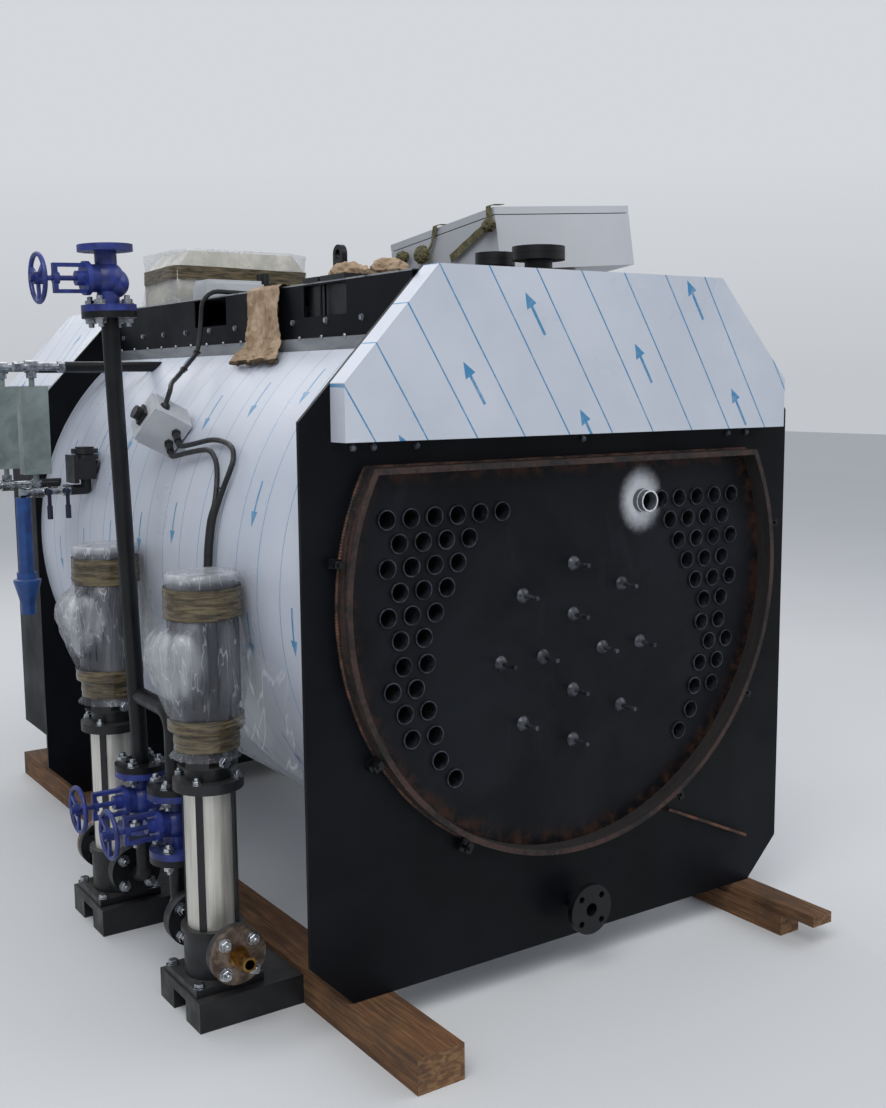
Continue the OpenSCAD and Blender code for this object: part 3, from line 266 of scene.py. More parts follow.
@dataclass(frozen=True)
class Coat:
    """What every finish has; each kind paints its own graph.

    Args:
        name: the finish in a maker's words.
        slot: name of its material slot; not used.
    """

    name: str
    slot: str

    def paint(self, graph: Graph) -> dict[str, Value]:
        """Returns the surface shader's inputs, with underscores for spaces."""
        raise NotImplementedError

    def material(self) -> bpy.types.Material:
        """Makes the material, at its first use.

        Returns:
            The material.
        """
        known = bpy.data.materials.get(self.name)
        if known:
            return known
        graph = Graph(self.name)
        return graph.close(**self.paint(graph))


@dataclass(frozen=True)
class Finish(Coat):
    """A surface with mottled colour, uneven gloss, fine relief, and dust on what faces up.

    Args:
        light: its paler colour, sRGB.
        dark: its darker colour, sRGB.
        roughness: middle of its roughness.
        spread: how far the roughness varies.
        metallic: 0 or 1.
        blotch_mm: width of the colour's blotches.
        grain_mm: width of the relief's grain.
        relief_mm: depth of the relief.
        dust: share of dust on faces that look up.
        dust_colour: colour of the dust, sRGB.
        stretch: stretch of the blotches along X, Y and Z.
        specular: strength of its gloss, 0.5 for common paint.
    """

    light: str
    dark: str
    roughness: float = 0.5
    spread: float = 0.12
    metallic: float = 0.0
    blotch_mm: float = 60.0
    grain_mm: float = 3.0
    relief_mm: float = 0.3
    dust: float = 0.0
    dust_colour: str = "#8d8a85"
    stretch: Optional[Place] = None
    specular: float = 0.5

    def paint(self, graph: Graph) -> dict[str, Value]:
        """Mottles colour and gloss, and lays the dust.

        Args:
            graph: the material's empty graph.

        Returns:
            The surface shader's inputs.
        """
        # The gloss varies over spots a little smaller than the colour's
        coarse = graph.span(graph.noise(self.blotch_mm, 5, 0.6, self.stretch, 0.4), 0.35, 0.68)
        colour = graph.mix(coarse, self.dark, self.light)
        fine = graph.noise(self.grain_mm, 3, 0.6, self.stretch)
        rough = graph.span(graph.noise(self.blotch_mm * 0.6, 4, 0.6, self.stretch), 0.3, 0.7,
                           self.roughness - self.spread, self.roughness + self.spread)
        if self.dust:
            # Dust lies in patches of some 90 mm, thicker the flatter the face
            up = graph.span(graph.axes(graph.normal)[2], 0.35, 0.95)
            patch = graph.span(graph.noise(90, 5, 0.7), 0.3, 0.75, 0.35, 1.0)
            colour = graph.mix(up * patch * self.dust, colour, self.dust_colour)
        return dict(Base_Color=colour, Metallic=self.metallic, Roughness=rough,
                    Specular_IOR_Level=self.specular, Normal=graph.bump(fine, self.relief_mm, 0.5))


class FilmLay(Enum):
    """Which surface a protective film lies on, and so how its print runs."""

    HOOD = "hood"
    SHELL = "shell"
    REAR = "rear"


@dataclass(frozen=True)
class Film(Coat):
    """White protective film with blue lines and arrows printed on it, stuck on sheet steel.

    Args:
        lay: the surface it lies on.
        ink: colour of the print, sRGB.
        crease: stretch of its creases along X, Y and Z.
        offset: where the first arrow begins along the lines.
        line_wide: width of a line.
        line_gap: distance between two lines.
        repeat: distance from arrow to arrow along a column.
        arrow: length of an arrow.
        head: length of its head.
        slim: half width of its shaft.
        slip: how far each column of arrows is offset from the next.
        angle: direction of a hood's lines from the horizontal, in degrees.
        hood_start: where a hood's first line lies.
        shell_start: where the shell's first arrow and line begin.
        shell_r: the cladding's radius.
    """

    lay: FilmLay
    ink: str = "#2b7fae"
    crease: Place = (1.0, 1.0, 0.5)
    offset: float = 0.100
    line_wide: float = 0.0042
    line_gap: float = 0.1255
    repeat: float = 0.345
    arrow: float = 0.123
    head: float = 0.040
    slim: float = 0.0042
    slip: float = 0.0475
    angle: float = 58.5
    hood_start: float = 0.218
    shell_start: tuple[float, float] = (0.303, 0.275)
    shell_r: float = 0.812

    def along_across(self, graph: Graph) -> tuple[Signal, Signal]:
        """Lays the film's own coordinates.

        Args:
            graph: the material's graph.

        Returns:
            The distance along the lines and the distance across them.
        """
        x, y, z = graph.axes()
        if self.lay is FilmLay.SHELL:
            turn = graph.math("ARCTAN2", z - AXIS_Z, abs(x))
            return self.shell_start[0] - turn * self.shell_r, y - self.shell_start[1]
        sideways, upward = x, z
        if self.lay is FilmLay.REAR:
            _, faces_back, faces_up = graph.axes(graph.normal)
            sideways = graph.choose(abs(faces_back) > 0.5, y * -1.0, x)
            upward = graph.choose(faces_up > 0.9, z, x)
        sine, cosine = math.sin(math.radians(self.angle)), math.cos(math.radians(self.angle))
        along = sideways * -cosine + upward * sine
        across = sideways * sine + upward * cosine
        # The print was measured up from the ground
        return along - GROUND_Z * sine, across - (GROUND_Z * cosine + self.hood_start)

    def printed(self, graph: Graph) -> Signal:
        """Draws the lines and arrows.

        Args:
            graph: the material's graph.

        Returns:
            1 where the film is printed, else 0.
        """
        along, across = self.along_across(graph)
        # The film is stuck on a little unevenly, so its lines waver by 3 mm
        count = (across + (graph.noise(260, 2) - 0.5) * 0.006) / self.line_gap
        line = abs(graph.math("FRACT", count + 0.5) - 0.5) < self.line_wide / self.line_gap / 2
        # Arrows stand in every second gap
        pair = count / 2.0
        side = abs((graph.math("FRACT", pair) - 0.25) * (self.line_gap * 2))
        run = along - graph.math("FLOOR", pair) * self.slip - self.offset
        run = graph.math("FRACT", run / self.repeat) * self.repeat
        neck = self.arrow - self.head
        shaft = (run < neck) * (side < self.slim)
        head = (run > neck - 0.001) * (side < (self.arrow - run) * 0.42)
        return graph.math("MAXIMUM", line, graph.math("MAXIMUM", shaft, head))

    def paint(self, graph: Graph) -> dict[str, Value]:
        """Satin white film, soft creases, worn blue print and grey scuffs.

        Args:
            graph: the material's empty graph.

        Returns:
            The surface shader's inputs.
        """
        # Ink worn in 14 mm spots, a white that turns slowly warmer and cooler, 30 mm scuffs, 55 mm creases
        worn = graph.span(graph.noise(14, 4, 0.7), 0.25, 0.6, 0.62, 0.95)
        base = graph.mix(graph.span(graph.noise(240, 4), 0.35, 0.7), "#bcc2ce", "#c8cdd7")
        scuff = graph.span(graph.noise(30, 6, 0.75), 0.66, 0.8, 0.0, 0.35)
        base = graph.mix(scuff, base, "#a3a8b2")
        crease = graph.noise(55, 3, 0.5, self.crease, 1.2)
        return dict(Base_Color=graph.mix(self.printed(graph) * worn, base, self.ink),
                    Roughness=graph.span(graph.noise(120), 0.3, 0.7, 0.26, 0.42),
                    Specular_IOR_Level=0.45, Normal=graph.bump(crease, 2.2, 0.35))


@dataclass(frozen=True)
class TubeSheetSteel(Coat):
    """Hot-rolled plate: blue-black mill scale, rust near the rim, white powder round one tube.

    Args:
        powder_at: middle of the white powder patch.
        rusty_r: where the rust along the rim begins and is full, from the rim's centre.
        rusty_z: where the rust under the rim's flat top begins and is full.
    """

    powder_at: Place = (0.241, 0.0, 1.216)
    rusty_r: tuple[float, float] = (0.66, 0.725)
    rusty_z: tuple[float, float] = (1.285, 1.325)

    def paint(self, graph: Graph) -> dict[str, Value]:
        """Scale, smears, rust and powder, one over the other.

        Args:
            graph: the material's empty graph.

        Returns:
            The surface shader's inputs.
        """
        x, _, z = graph.axes()
        # Mill scale clouds as wide as the rolls leave them, and smears where water ran down
        cloud = graph.span(graph.noise(210, 6, 0.62, warp=0.8), 0.3, 0.72)
        colour = graph.mix(cloud, "#0a0c10", "#171a20")
        smear = graph.span(graph.noise(70, 6, 0.7, (1.0, 1.0, 0.35), 0.6), 0.56, 0.78, 0.0, 0.45)
        colour = graph.mix(smear, colour, "#2b2f36")
        # Rust spots of 26 mm, only along the rim
        near_rim = graph.span(graph.length(x, z - AXIS_Z), *self.rusty_r)
        rust = graph.math("MAXIMUM", near_rim, graph.span(z, *self.rusty_z))
        rust = rust * graph.span(graph.noise(26, 6, 0.7), 0.42, 0.62)
        colour = graph.mix(rust * 0.75, colour, "#4a2f20")
        # Powder that thins out raggedly from 26 mm to 88 mm off its middle
        away = graph.length(x - self.powder_at[0], (z - self.powder_at[2]) * 0.85)
        powder = graph.span(away + (graph.noise(18, 6, 0.7) - 0.5) * 0.03, 0.026, 0.088, 1.0, 0.0)
        colour = graph.mix(powder, colour, "#dcdfe6")
        rough = graph.math("MAXIMUM", graph.span(graph.noise(120, 5), 0.3, 0.7, 0.34, 0.56), powder * 0.85)
        # Grit, drawn coarser than it is so that it shows, over waves of 160 mm
        waves = graph.bump(graph.noise(160, 3, 0.5), 1.6, 0.3)
        return dict(Base_Color=colour, Metallic=0.1, Roughness=rough, Specular_IOR_Level=0.16,
                    Normal=graph.bump(graph.noise(2.5, 3, 0.6), 0.25, 0.45, waves))


@dataclass(frozen=True)
class RolledEdge(Coat):
    """Flame-cut and rolled steel edge: brown rust in lines along the bend over black scale.

    Args:
        rust: the fresher rust's colour, sRGB.
        scale: the black scale's colour, sRGB.
        share: how much of it is rusted.
        centre_z: height of the bend's centre; the side that faces it keeps its black scale.
    """

    rust: str = "#46302a"
    scale: str = "#141213"
    share: float = 0.8
    centre_z: float = AXIS_Z

    def paint(self, graph: Graph) -> dict[str, Value]:
        """Rust lines and spots on the sides that look away from the bend's centre.

        Args:
            graph: the material's empty graph.

        Returns:
            The surface shader's inputs.
        """
        # Pits of 9 mm, and lines drawn out along the bend
        spots = graph.noise(9, 6, 0.72)
        mixed = graph.noise(26, 4, 0.6, (0.35, 3.4, 0.35)) * 0.6 + spots * 0.4
        x, _, z = graph.axes()
        nx, _, nz = graph.axes(graph.normal)
        open_side = graph.span(nx * x + nz * (z - self.centre_z), -0.12, -0.02, 0.18, 1.0)
        rusted = graph.span(mixed, 0.42, 0.6) * self.share * open_side
        colour = graph.mix(rusted, self.scale, self.rust)
        bright = graph.span(graph.noise(5, 4, 0.7), 0.6, 0.7, 0.0, 0.6) * open_side
        return dict(Base_Color=graph.mix(bright, colour, "#6d4c3b"), Roughness=0.78,
                    Normal=graph.bump(spots, 0.8, 0.7))


@dataclass(frozen=True)
class SleeveSteel(Coat):
    """Ground stainless sleeve with black tie straps: a bright soft sheen between dark stripes.

    Args:
        centre_y: the pump's place along the shell.
        sleeve_r: the sleeve's radius.
    """

    centre_y: float
    sleeve_r: float = 0.0652

    def paint(self, graph: Graph) -> dict[str, Value]:
        """Brushed steel, and black past the sleeve's radius.

        Args:
            graph: the material's empty graph.

        Returns:
            The surface shader's inputs.
        """
        x, y, _ = graph.axes()
        strap = graph.length(x - PUMP_X, y - self.centre_y) > self.sleeve_r
        # Grinding lines twenty times as long as wide, drawn coarser than they are so that they show
        brushed = graph.noise(6, 4, 0.6, (1.0, 1.0, 0.05))
        steel = graph.mix(graph.span(brushed, 0.3, 0.7), "#c6c3bb", "#e4e1da")
        return dict(Base_Color=graph.mix(strap, steel, "#0f1013"), Metallic=(1.0 - strap) * 0.72,
                    Roughness=graph.span(graph.noise(80, 3), 0.3, 0.7, 0.4, 0.55),
                    Normal=graph.bump(brushed, 0.06, 0.5))


@dataclass(frozen=True)
class EdgedPaint(Coat):
    """Black enamelled sheet whose edge at the deck's sides is painted as bright bare steel: a painted highlight along
    the fold.

    Args:
        edge_x: distance past which the sheet's edge begins.
    """

    edge_x: float = 0.5036

    def paint(self, graph: Graph) -> dict[str, Value]:
        """Dusty black, and bright steel past the edge as a painted highlight.

        Args:
            graph: the material's empty graph.

        Returns:
            The surface shader's inputs.
        """
        # Painted highlight: past edge_x the sheet turns bright steel in patches, for the light caught along its folded
        # edge
        edge_highlight = (abs(graph.axes()[0]) > self.edge_x) * graph.span(graph.noise(40, 5, 0.7), 0.3, 0.5)
        dusty = graph.span(graph.noise(160, 6, 0.65), 0.35, 0.75, 0.03, 0.4)
        top = graph.mix(dusty, "#0b0d11", "#454341")
        return dict(Base_Color=graph.mix(edge_highlight, top, "#b9bcc0"), Metallic=edge_highlight * 0.8,
                    Roughness=graph.span(dusty, 0.1, 0.6, 0.36, 0.7),
                    Normal=graph.bump(graph.noise(4, 3), 0.2, 0.4))


@dataclass(frozen=True)
class SawnWood(Coat):
    """Sawn softwood: long grain along Y, darker knots and splits, dusty from the yard.

    Args:
        pale: the early wood's colour, sRGB.
        deep: the late wood's colour, sRGB.
    """

    pale: str = "#7f5a38"
    deep: str = "#4b321e"

    def paint(self, graph: Graph) -> dict[str, Value]:
        """Grain on the sides, rings on the ends, then dirt and splits.

        Args:
            graph: the material's empty graph.

        Returns:
            The surface shader's inputs.
        """
        # Grain lines 5 mm apart and 90 mm long
        grain = graph.noise(45, 6, 0.62, (9.0, 0.5, 9.0), 0.6)
        colour = graph.mix(graph.span(grain, 0.35, 0.66), self.deep, self.pale)
        knot = graph.span(graph.noise(90, 2, 0.4, (3.2, 0.25, 3.2), 1.4), 0.4, 0.62)
        colour = graph.mix(knot * 0.45, colour, "#66432a")
        rings = graph.span(graph.noise(14, 2, 0.4, (1.0, 0.2, 3.0), 0.8), 0.35, 0.65)
        end = abs(graph.axes(graph.normal)[1]) > 0.9
        colour = graph.mix(end, colour, graph.mix(rings, "#64462e", "#8a6847"))
        dirt = graph.span(graph.noise(120, 6, 0.7), 0.42, 0.72, 0.0, 0.72)
        colour = graph.mix(dirt, colour, "#3a2b1e")
        split = graph.span(graph.noise(24, 4, 0.7, (6.0, 0.35, 6.0), 0.4), 0.62, 0.68)
        return dict(Base_Color=graph.mix(split * 0.6, colour, "#3b2a1c"), Roughness=0.82,
                    Normal=graph.bump(grain - split * 0.8, 1.4, 0.8))


@dataclass(frozen=True)
class ClearWrap(Coat):
    """Thin clear polyethylene, crumpled: see-through where it lies tight, milky where it hangs in folds.

    Args:
        crease_mm: width of the creases.
        low: opacity where it lies tight.
        high: opacity on the folds.
        stretch: stretch of the creases along X, Y and Z.
        bag_y: place along the shell of the pump that a bag hangs round, if any.
        tight_r: distance from the pump's middle within which a bag lies tight.
        loose_r: distance past which it is milky.
        cap_z: heights between which a bag's top turns milky.
    """

    crease_mm: float
    low: float
    high: float
    stretch: Place
    bag_y: Optional[float] = None
    tight_r: float = 0.112
    loose_r: float = 0.130
    cap_z: tuple[float, float] = (1.040, 1.066)

    def paint(self, graph: Graph) -> dict[str, Value]:
        """Bright creases over a haze, and the haze over what hangs loose.

        Args:
            graph: the material's empty graph.

        Returns:
            The surface shader's inputs.
        """
        # A crease runs where the noise crosses its middle
        large = graph.noise(self.crease_mm, 3, 0.5, self.stretch, 0.35)
        fold = graph.span(abs(large - 0.5), 0.0, 0.016, 1.0, 0.0)
        haze = graph.span(graph.noise(self.crease_mm * 2.4, 3, 0.5, self.stretch), 0.42, 0.66)
        milky = fold * 0.7 + haze * 0.5
        if self.bag_y is not None:
            x, y, z = graph.axes()
            away = graph.length(x - PUMP_X, y - self.bag_y)
            loose = graph.math("MAXIMUM", graph.span(away, self.tight_r, self.loose_r),
                               graph.span(z, *self.cap_z, 0.0, 1.3))
            milky = milky * 0.6 + loose * 0.46
        return dict(Base_Color=graph.mix(milky, "#8d9098", "#c2c5ca"), Roughness=0.2,
                    Alpha=graph.span(milky, 0.0, 1.0, self.low, self.high, False),
                    Specular_IOR_Level=0.55, Normal=graph.bump(large, 4.0, 0.6))


@dataclass(frozen=True)
class CollarPaint(Coat):
    """Turned collar: dark steel round its side, white marking paint on its open end."""

    def paint(self, graph: Graph) -> dict[str, Value]:
        """Chipped white on the face that looks forward.

        Args:
            graph: the material's empty graph.

        Returns:
            The surface shader's inputs.
        """
        front = graph.axes(graph.normal)[1] < -0.6
        share = front * graph.span(graph.noise(4, 4, 0.7), 0.3, 0.45)
        steel = graph.mix(graph.noise(6, 4), "#33363c", "#6a6e75")
        return dict(Base_Color=graph.mix(share, steel, "#d5d8dc"), Roughness=0.45,
                    Normal=graph.bump(graph.noise(2, 3), 0.1, 0.4))


# Deep even black with a weak sheen
PLATE_BLACK = Finish("satin_black_enamel", "black_paint", "#0d1016", "#06070b", 0.46, 0.1, 0, 220, 4, 0.25,
                     0.1, "#4c4c4b", specular=0.14)
# Black a little glossier than the plates, dusty on top
PIPE_BLACK = Finish("black_primer_on_pipe", "black_paint", "#0f1115", "#07080b", 0.4, 0.1, 0, 60, 3, 0.3,
                    0.1, "#4c4c4b", specular=0.35)
# Matt brown streaks on the outside of the black rim
RUSTY_RIM = RolledEdge("rusted_rolled_edge", "rusty_steel")
# The one warm orange-brown line on the black plate
RUSTY_LEDGE = RolledEdge("rusted_cut_flat", "rusty_steel", rust="#7a5138", centre_z=-5.0)
# Black top greyed by dust, with a painted highlight of bright steel along its edge
DECK_SHEET = EdgedPaint("black_deck_sheet", "black_paint")
# Thin grey rings of light round the dark bores
TUBE_STEEL = Finish("expanded_tube_steel", "bare_steel", "#4d5058", "#23262c", 0.42, 0.12, 0.6, 14, 1.5, 0.3)
# Grey metal points that catch light on the dark plate
STUD_STEEL = Finish("welded_stud_steel", "bare_steel", "#56585f", "#25272c", 0.4, 0.12, 0.5, 12, 1.5, 0.4)
# Warm grey machined faces with a tint of rust
FLANGE_STEEL = Finish("bare_flange_face", "bare_steel", "#8a7a6c", "#4a3d36", 0.5, 0.14, 0.6, 14, 1.2, 0.3)
# Black brackets that gather dust on top
BLOCK_BLACK = Finish("black_folded_bracket", "black_paint", "#121419", "#08090c", 0.36, 0.1, 0, 40, 2, 0.2, 0.2)
# Cream seen through the film, dull with dust
INSTRUMENT = Finish("cream_instrument_case", "wrap_film", "#d6d2c4", "#a9a79d", 0.4, 0.1, 0, 70, 2, 0.2,
                    0.55, "#8b9099")
# Small bright sparks of fresh zinc
ZINC = Finish("zinc_plated_steel", "cock_steel", "#c9ccd0", "#8f949b", 0.3, 0.1, 1.0, 14, 1.2, 0.1)
# The same zinc gone dull, grey on black
DULL_ZINC = Finish("dull_zinc_screw", "cock_steel", "#7d8187", "#44484e", 0.45, 0.1, 0.7, 8, 1.2, 0.1)
# One white ring among the dark tubes
COLLAR_PAINT = CollarPaint("painted_end_of_steel_collar", "white_paint")
# A grey line drawn along the deck's foot
STRIP_STEEL = Finish("grey_rolled_strip", "strip_grey", "#9a9da2", "#63666c", 0.42, 0.14, 0.35, 70, 2, 0.2,
                     stretch=(1, 0.2, 1))
# Even cool light grey with soft highlights
CABINET_GREY = Finish("light_grey_powder_coat", "grey_paint", "#bdc0c6", "#b6b9c0", 0.4, 0.05, 0, 300, 0.9,
                      0.12, 0.12)
# Pale rough wood under the cabinet
PACKER = SawnWood("rough_packer_timber", "packer_wood", "#a98f6a", "#7a6243")
# Warm brown grain that grounds the black plates
TIMBER = SawnWood("sawn_softwood_bearer", "pale_wood")
# Pale smooth plastic, slightly warm
GREY_ABS = Finish("moulded_grey_abs", "grey_plastic", "#c8cbd0", "#b3b6bc", 0.42, 0.06, 0, 90, 0.8, 0.08, 0.1)
# Soft black plastic without reflections
BLACK_PA = Finish("moulded_black_polyamide", "black_plastic", "#17181b", "#0c0d0f", 0.45, 0.08, 0, 30, 1, 0.15)
# Grainy black castings, dusty on top
PUMP_BLACK = Finish("black_cast_iron", "black_cast", "#17191d", "#0a0b0e", 0.46, 0.12, 0, 40, 1.6, 0.5, 0.2)
# The brightest metal, a tall soft highlight on each pump
NEAR_SLEEVE = SleeveSteel("ground_stainless_near_sleeve", "stainless", NEAR_Y)
FAR_SLEEVE = SleeveSteel("ground_stainless_far_sleeve", "stainless", FAR_Y)
# Dark body that shows through the bags
MOTOR_GREY = Finish("dark_motor_enamel", "motor_grey", "#2a2c31", "#15171a", 0.45, 0.1, 0, 50, 2, 0.4)
# Saturated blue enamel with cast grain: the strongest colour
VALVE_BLUE = Finish("blue_valve_enamel", "blue_cast", "#2a3a86", "#18235c", 0.38, 0.1, 0, 28, 2.2, 0.5,
                    0.15, "#6b7392")
# A warm golden glint at the pumps' feet
BRASS = Finish("turned_brass", "brass", "#b08a4e", "#7c5f35", 0.34, 0.1, 1.0, 16, 1.2, 0.2)
# Dull grey-green castings
GAUGE_GREEN = Finish("grey_green_gauge_casting", "gauge_green", "#8b9795", "#6d7877", 0.4, 0.08, 0.2, 50, 1.5, 0.3)
# Polished fittings, the sharpest reflections
COCK_STEEL = Finish("nickel_plated_fitting", "cock_steel", "#c4c8cc", "#80858b", 0.24, 0.1, 1.0, 9, 1, 0.15)
# Nearly black blue on the levers
GRIP = Finish("dipped_blue_grip", "grip_blue", "#141d3c", "#0b1026", 0.5, 0.08, 0, 20, 1, 0.2)
# Clear mid blue plastic, lighter than the valves
BLUE_PIPE = Finish("moulded_blue_funnel", "blue_plastic", "#1f4a86", "#14336a", 0.42, 0.08, 0, 40, 1.5, 0.2, 0.2)
# Black cables against the white film
BLACK_RUBBER = Finish("black_cable_sheath", "black_plastic", "#15161a", "#0b0c0f", 0.5, 0.08, 0, 20, 1, 0.15)
# Matt olive webbing on the grey cabinet
OLIVE_WEB = Finish("olive_ratchet_webbing", "strap_olive", "#6f6a48", "#4a4630", 0.8, 0.05, 0, 8, 1.2, 0.5)
# Soft tan cloth, fully matt
RAG = Finish("tan_wiping_rag", "rag_tan", "#b59f86", "#937c64", 0.92, 0.04, 0, 30, 1.4, 0.6)
# Painted shadow: a dark hem that stands for the shade under the rag's lower edge
RAG_HEM_SHADE = Finish("rag_hem_painted_shade", "rag_tan", "#5d4a35", "#2e241b", 0.92, 0.04, 0, 22, 1.4, 0.6)
# Glossy brown winds with dark lines between them
TAPE = Finish("brown_packing_tape", "brown_tape", "#6f634a", "#393226", 0.26, 0.1, 0, 7, 5, 0.5,
              stretch=(0.22, 0.22, 2.2))
# Rippled brown line that draws the rim's foot
WELD = Finish("rusted_weld_bead", "rusty_steel", "#6a4836", "#241c19", 0.6, 0.12, 0.2, 26, 2, 0.4)
# White sheets with blue slanting lines and arrows
HOOD_FILM = Film("printed_film_on_near_hood", "white_film", FilmLay.HOOD)
REAR_FILM = Film("printed_film_on_rear_hood", "white_film", FilmLay.REAR)
# White round shell with fine lines and arrows that run down it
SHELL_FILM = Film("printed_film_on_cladding", "white_film", FilmLay.SHELL, "#3d86b4", (0.35, 1.0, 0.35), 0.0, 0.003)
# Dark blue-black sheet behind the tubes
PLATE_STEEL = TubeSheetSteel("hot_rolled_plate", "bare_steel")
# Wet-looking film: dark where tight, white where it bellies out
NEAR_BAG_FILM = ClearWrap("clear_bag_on_near_motor", "wrap_film", 17, 0.12, 0.84, (1.0, 1.0, 0.16), NEAR_Y)
FAR_BAG_FILM = ClearWrap("clear_bag_on_far_motor", "wrap_film", 17, 0.16, 0.84, (1.0, 1.0, 0.16), FAR_Y)
# A faint veil with a few bright creases
TAIL_FILM = ClearWrap("loose_clear_corner", "wrap_film", 40, 0.08, 0.36, (1.0, 1.0, 0.22))
BOX_FILM = ClearWrap("stretch_film_on_box", "wrap_film", 44, 0.07, 0.5, (1.0, 1.0, 1.0))

COATED: tuple[tuple[Coat, str], ...] = (
    (PLATE_BLACK, "near_end_plate pressure_shell far_end_plate rear_casing deck_side_panels"),
    (PIPE_BLACK, "rim_clips drain_flange top_nozzles lifting_lug near_delivery far_delivery near_branch "
                 "feed_riser gauge_pipes"),
    (PUMP_BLACK, "near_pump_base far_pump_base near_pump_head far_pump_head level_casting pump_skids"),
    (VALVE_BLUE, "near_valve far_valve top_valve near_handwheel far_handwheel top_handwheel"),
    (RUSTY_RIM, "smokebox_rim"), (PLATE_STEEL, "tube_plate"), (TUBE_STEEL, "fire_tubes"),
    (STUD_STEEL, "wall_studs"), (COLLAR_PAINT, "test_collar"), (RUSTY_LEDGE, "drip_ledge"),
    (HOOD_FILM, "near_hood"), (SHELL_FILM, "cladding"), (REAR_FILM, "rear_hood"),
    (DECK_SHEET, "deck_plate"), (STRIP_STEEL, "deck_base_strips"), (BLOCK_BLACK, "deck_blocks"),
    (CABINET_GREY, "control_cabinet cabinet_door"), (PACKER, "cabinet_packers"), (INSTRUMENT, "wrapped_box"),
    (GREY_ABS, "deck_junction_box clad_junction_box"), (BLACK_PA, "box_glands"),
    (BLACK_RUBBER, "supply_cables"), (FLANGE_STEEL, "suction_flanges"), (BRASS, "suction_nipples"),
    (NEAR_SLEEVE, "near_pump_sleeve"), (FAR_SLEEVE, "far_pump_sleeve"),
    (MOTOR_GREY, "near_pump_motor far_pump_motor"), (GAUGE_GREEN, "level_gauges"), (COCK_STEEL, "gauge_cocks"),
    (BLUE_PIPE, "gauge_drain"), (GRIP, "cock_lever_left cock_lever_right"), (TIMBER, "left_timber right_timber"),
)


def dress_cad(nodes: dict[str, bpy.types.Object]) -> None:
    """Gives every CAD node its finish.

    Args:
        nodes: the CAD nodes by name.
    """
    finishes = {name: finish for finish, names in COATED for name in names.split()}
    for name, obj in nodes.items():
        obj.data.materials.clear()
        obj.data.materials.append(finishes[name].material())


# Modelling helpers


def deselect() -> None:
    """Deselects everything."""
    bpy.ops.object.select_all(action="DESELECT")


def pick(obj: bpy.types.Object) -> None:
    """Selects one object alone and makes it active."""
    deselect()
    obj.select_set(True)
    bpy.context.view_layer.objects.active = obj


def begin(primitive: Callable[..., Any], **sizes: Any) -> bpy.types.Object:
    """Adds a primitive, with nothing else selected, as the start of a piece.

    Args:
        primitive: the operator that adds it.
        sizes: the operator's settings.

    Returns:
        The new object.
    """
    deselect()
    primitive(**sizes)
    return bpy.context.object


@contextmanager
def editing() -> Iterator[None]:
    """Opens the active piece in edit mode with all of it selected, and closes it afterwards."""
    bpy.ops.object.mode_set(mode="EDIT")
    bpy.ops.mesh.select_all(action="SELECT")
    yield
    bpy.ops.object.mode_set(mode="OBJECT")


def bevel_edges(obj: bpy.types.Object, width: float, segments: int = 2, angle: float = 40.0) -> None:
    """Rounds a piece's sharp edges with a bevel that is applied.

    Args:
        obj: the piece.
        width: width of the bevel.
        segments: faces across it.
        angle: edges sharper than this many degrees are rounded.
    """
    pick(obj)
    changer = obj.modifiers.new("rounded", "BEVEL")
    changer.width = width
    changer.segments = segments
    changer.limit_method = "ANGLE"
    changer.angle_limit = math.radians(angle)
    bpy.ops.object.modifier_apply(modifier=changer.name)


def thicken(obj: bpy.types.Object, thick: float) -> None:
    """Gives a sheet its thickness, outwards, and applies it.

    Args:
        obj: the sheet.
        thick: its thickness.
    """
    pick(obj)
    changer = obj.modifiers.new("thick", "SOLIDIFY")
    changer.thickness = thick
    changer.offset = 1.0
    bpy.ops.object.modifier_apply(modifier=changer.name)


def join(parts: Sequence[bpy.types.Object]) -> bpy.types.Object:
    """Joins pieces into one.

    Args:
        parts: the pieces.

    Returns:
        The first of them, which holds them all.
    """
    deselect()
    for part in parts:
        part.select_set(True)
    bpy.context.view_layer.objects.active = parts[0]
    if len(parts) > 1:
        bpy.ops.object.join()
    return parts[0]


def settle(obj: bpy.types.Object, name: str, finish: Coat, smooth: float = 35.0) -> bpy.types.Object:
    """Names a new piece, moves its place into its mesh, shades it and gives it its finish.

    Args:
        obj: the piece.
        name: its name.
        finish: its finish.
        smooth: edges flatter than this many degrees are shaded smooth.

    Returns:
        The piece.
    """
    pick(obj)
    bpy.ops.object.transform_apply(location=True, rotation=True, scale=True)
    bpy.ops.object.shade_smooth_by_angle(angle=math.radians(smooth))
    obj.name = name
    obj.data.name = name
    obj.data.materials.clear()
    obj.data.materials.append(finish.material())
    return obj


def ship(obj: bpy.types.Object, body: str = ROOT) -> None:
    """Puts a finished piece on its body, then reports it.

    Args:
        obj: the piece.
        body: the body that it rides on.
    """
    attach(obj, body)
    LOG.info("%s: %d faces on %s", obj.name, len(obj.data.polygons), body)


def complete(obj: bpy.types.Object, name: str, finish: Coat, smooth: float = 35.0) -> None:
    """Settles a piece and ships it."""
    ship(settle(obj, name, finish, smooth))


def aim(place: Sequence[float], axis: Sequence[float], roll: float = 0.0) -> Matrix:
    """Turns and moves a piece that was modelled along +Z at the origin.

    Args:
        place: where its origin goes.
        axis: where its +Z points.
        roll: its turn about that axis, in radians.

    Returns:
        The matrix that does it.
    """
    turn = Vector(axis).normalized().to_track_quat("Z", "Y").to_matrix().to_4x4()
    return Matrix.Translation(place) @ turn @ Matrix.Rotation(roll, 4, "Z")


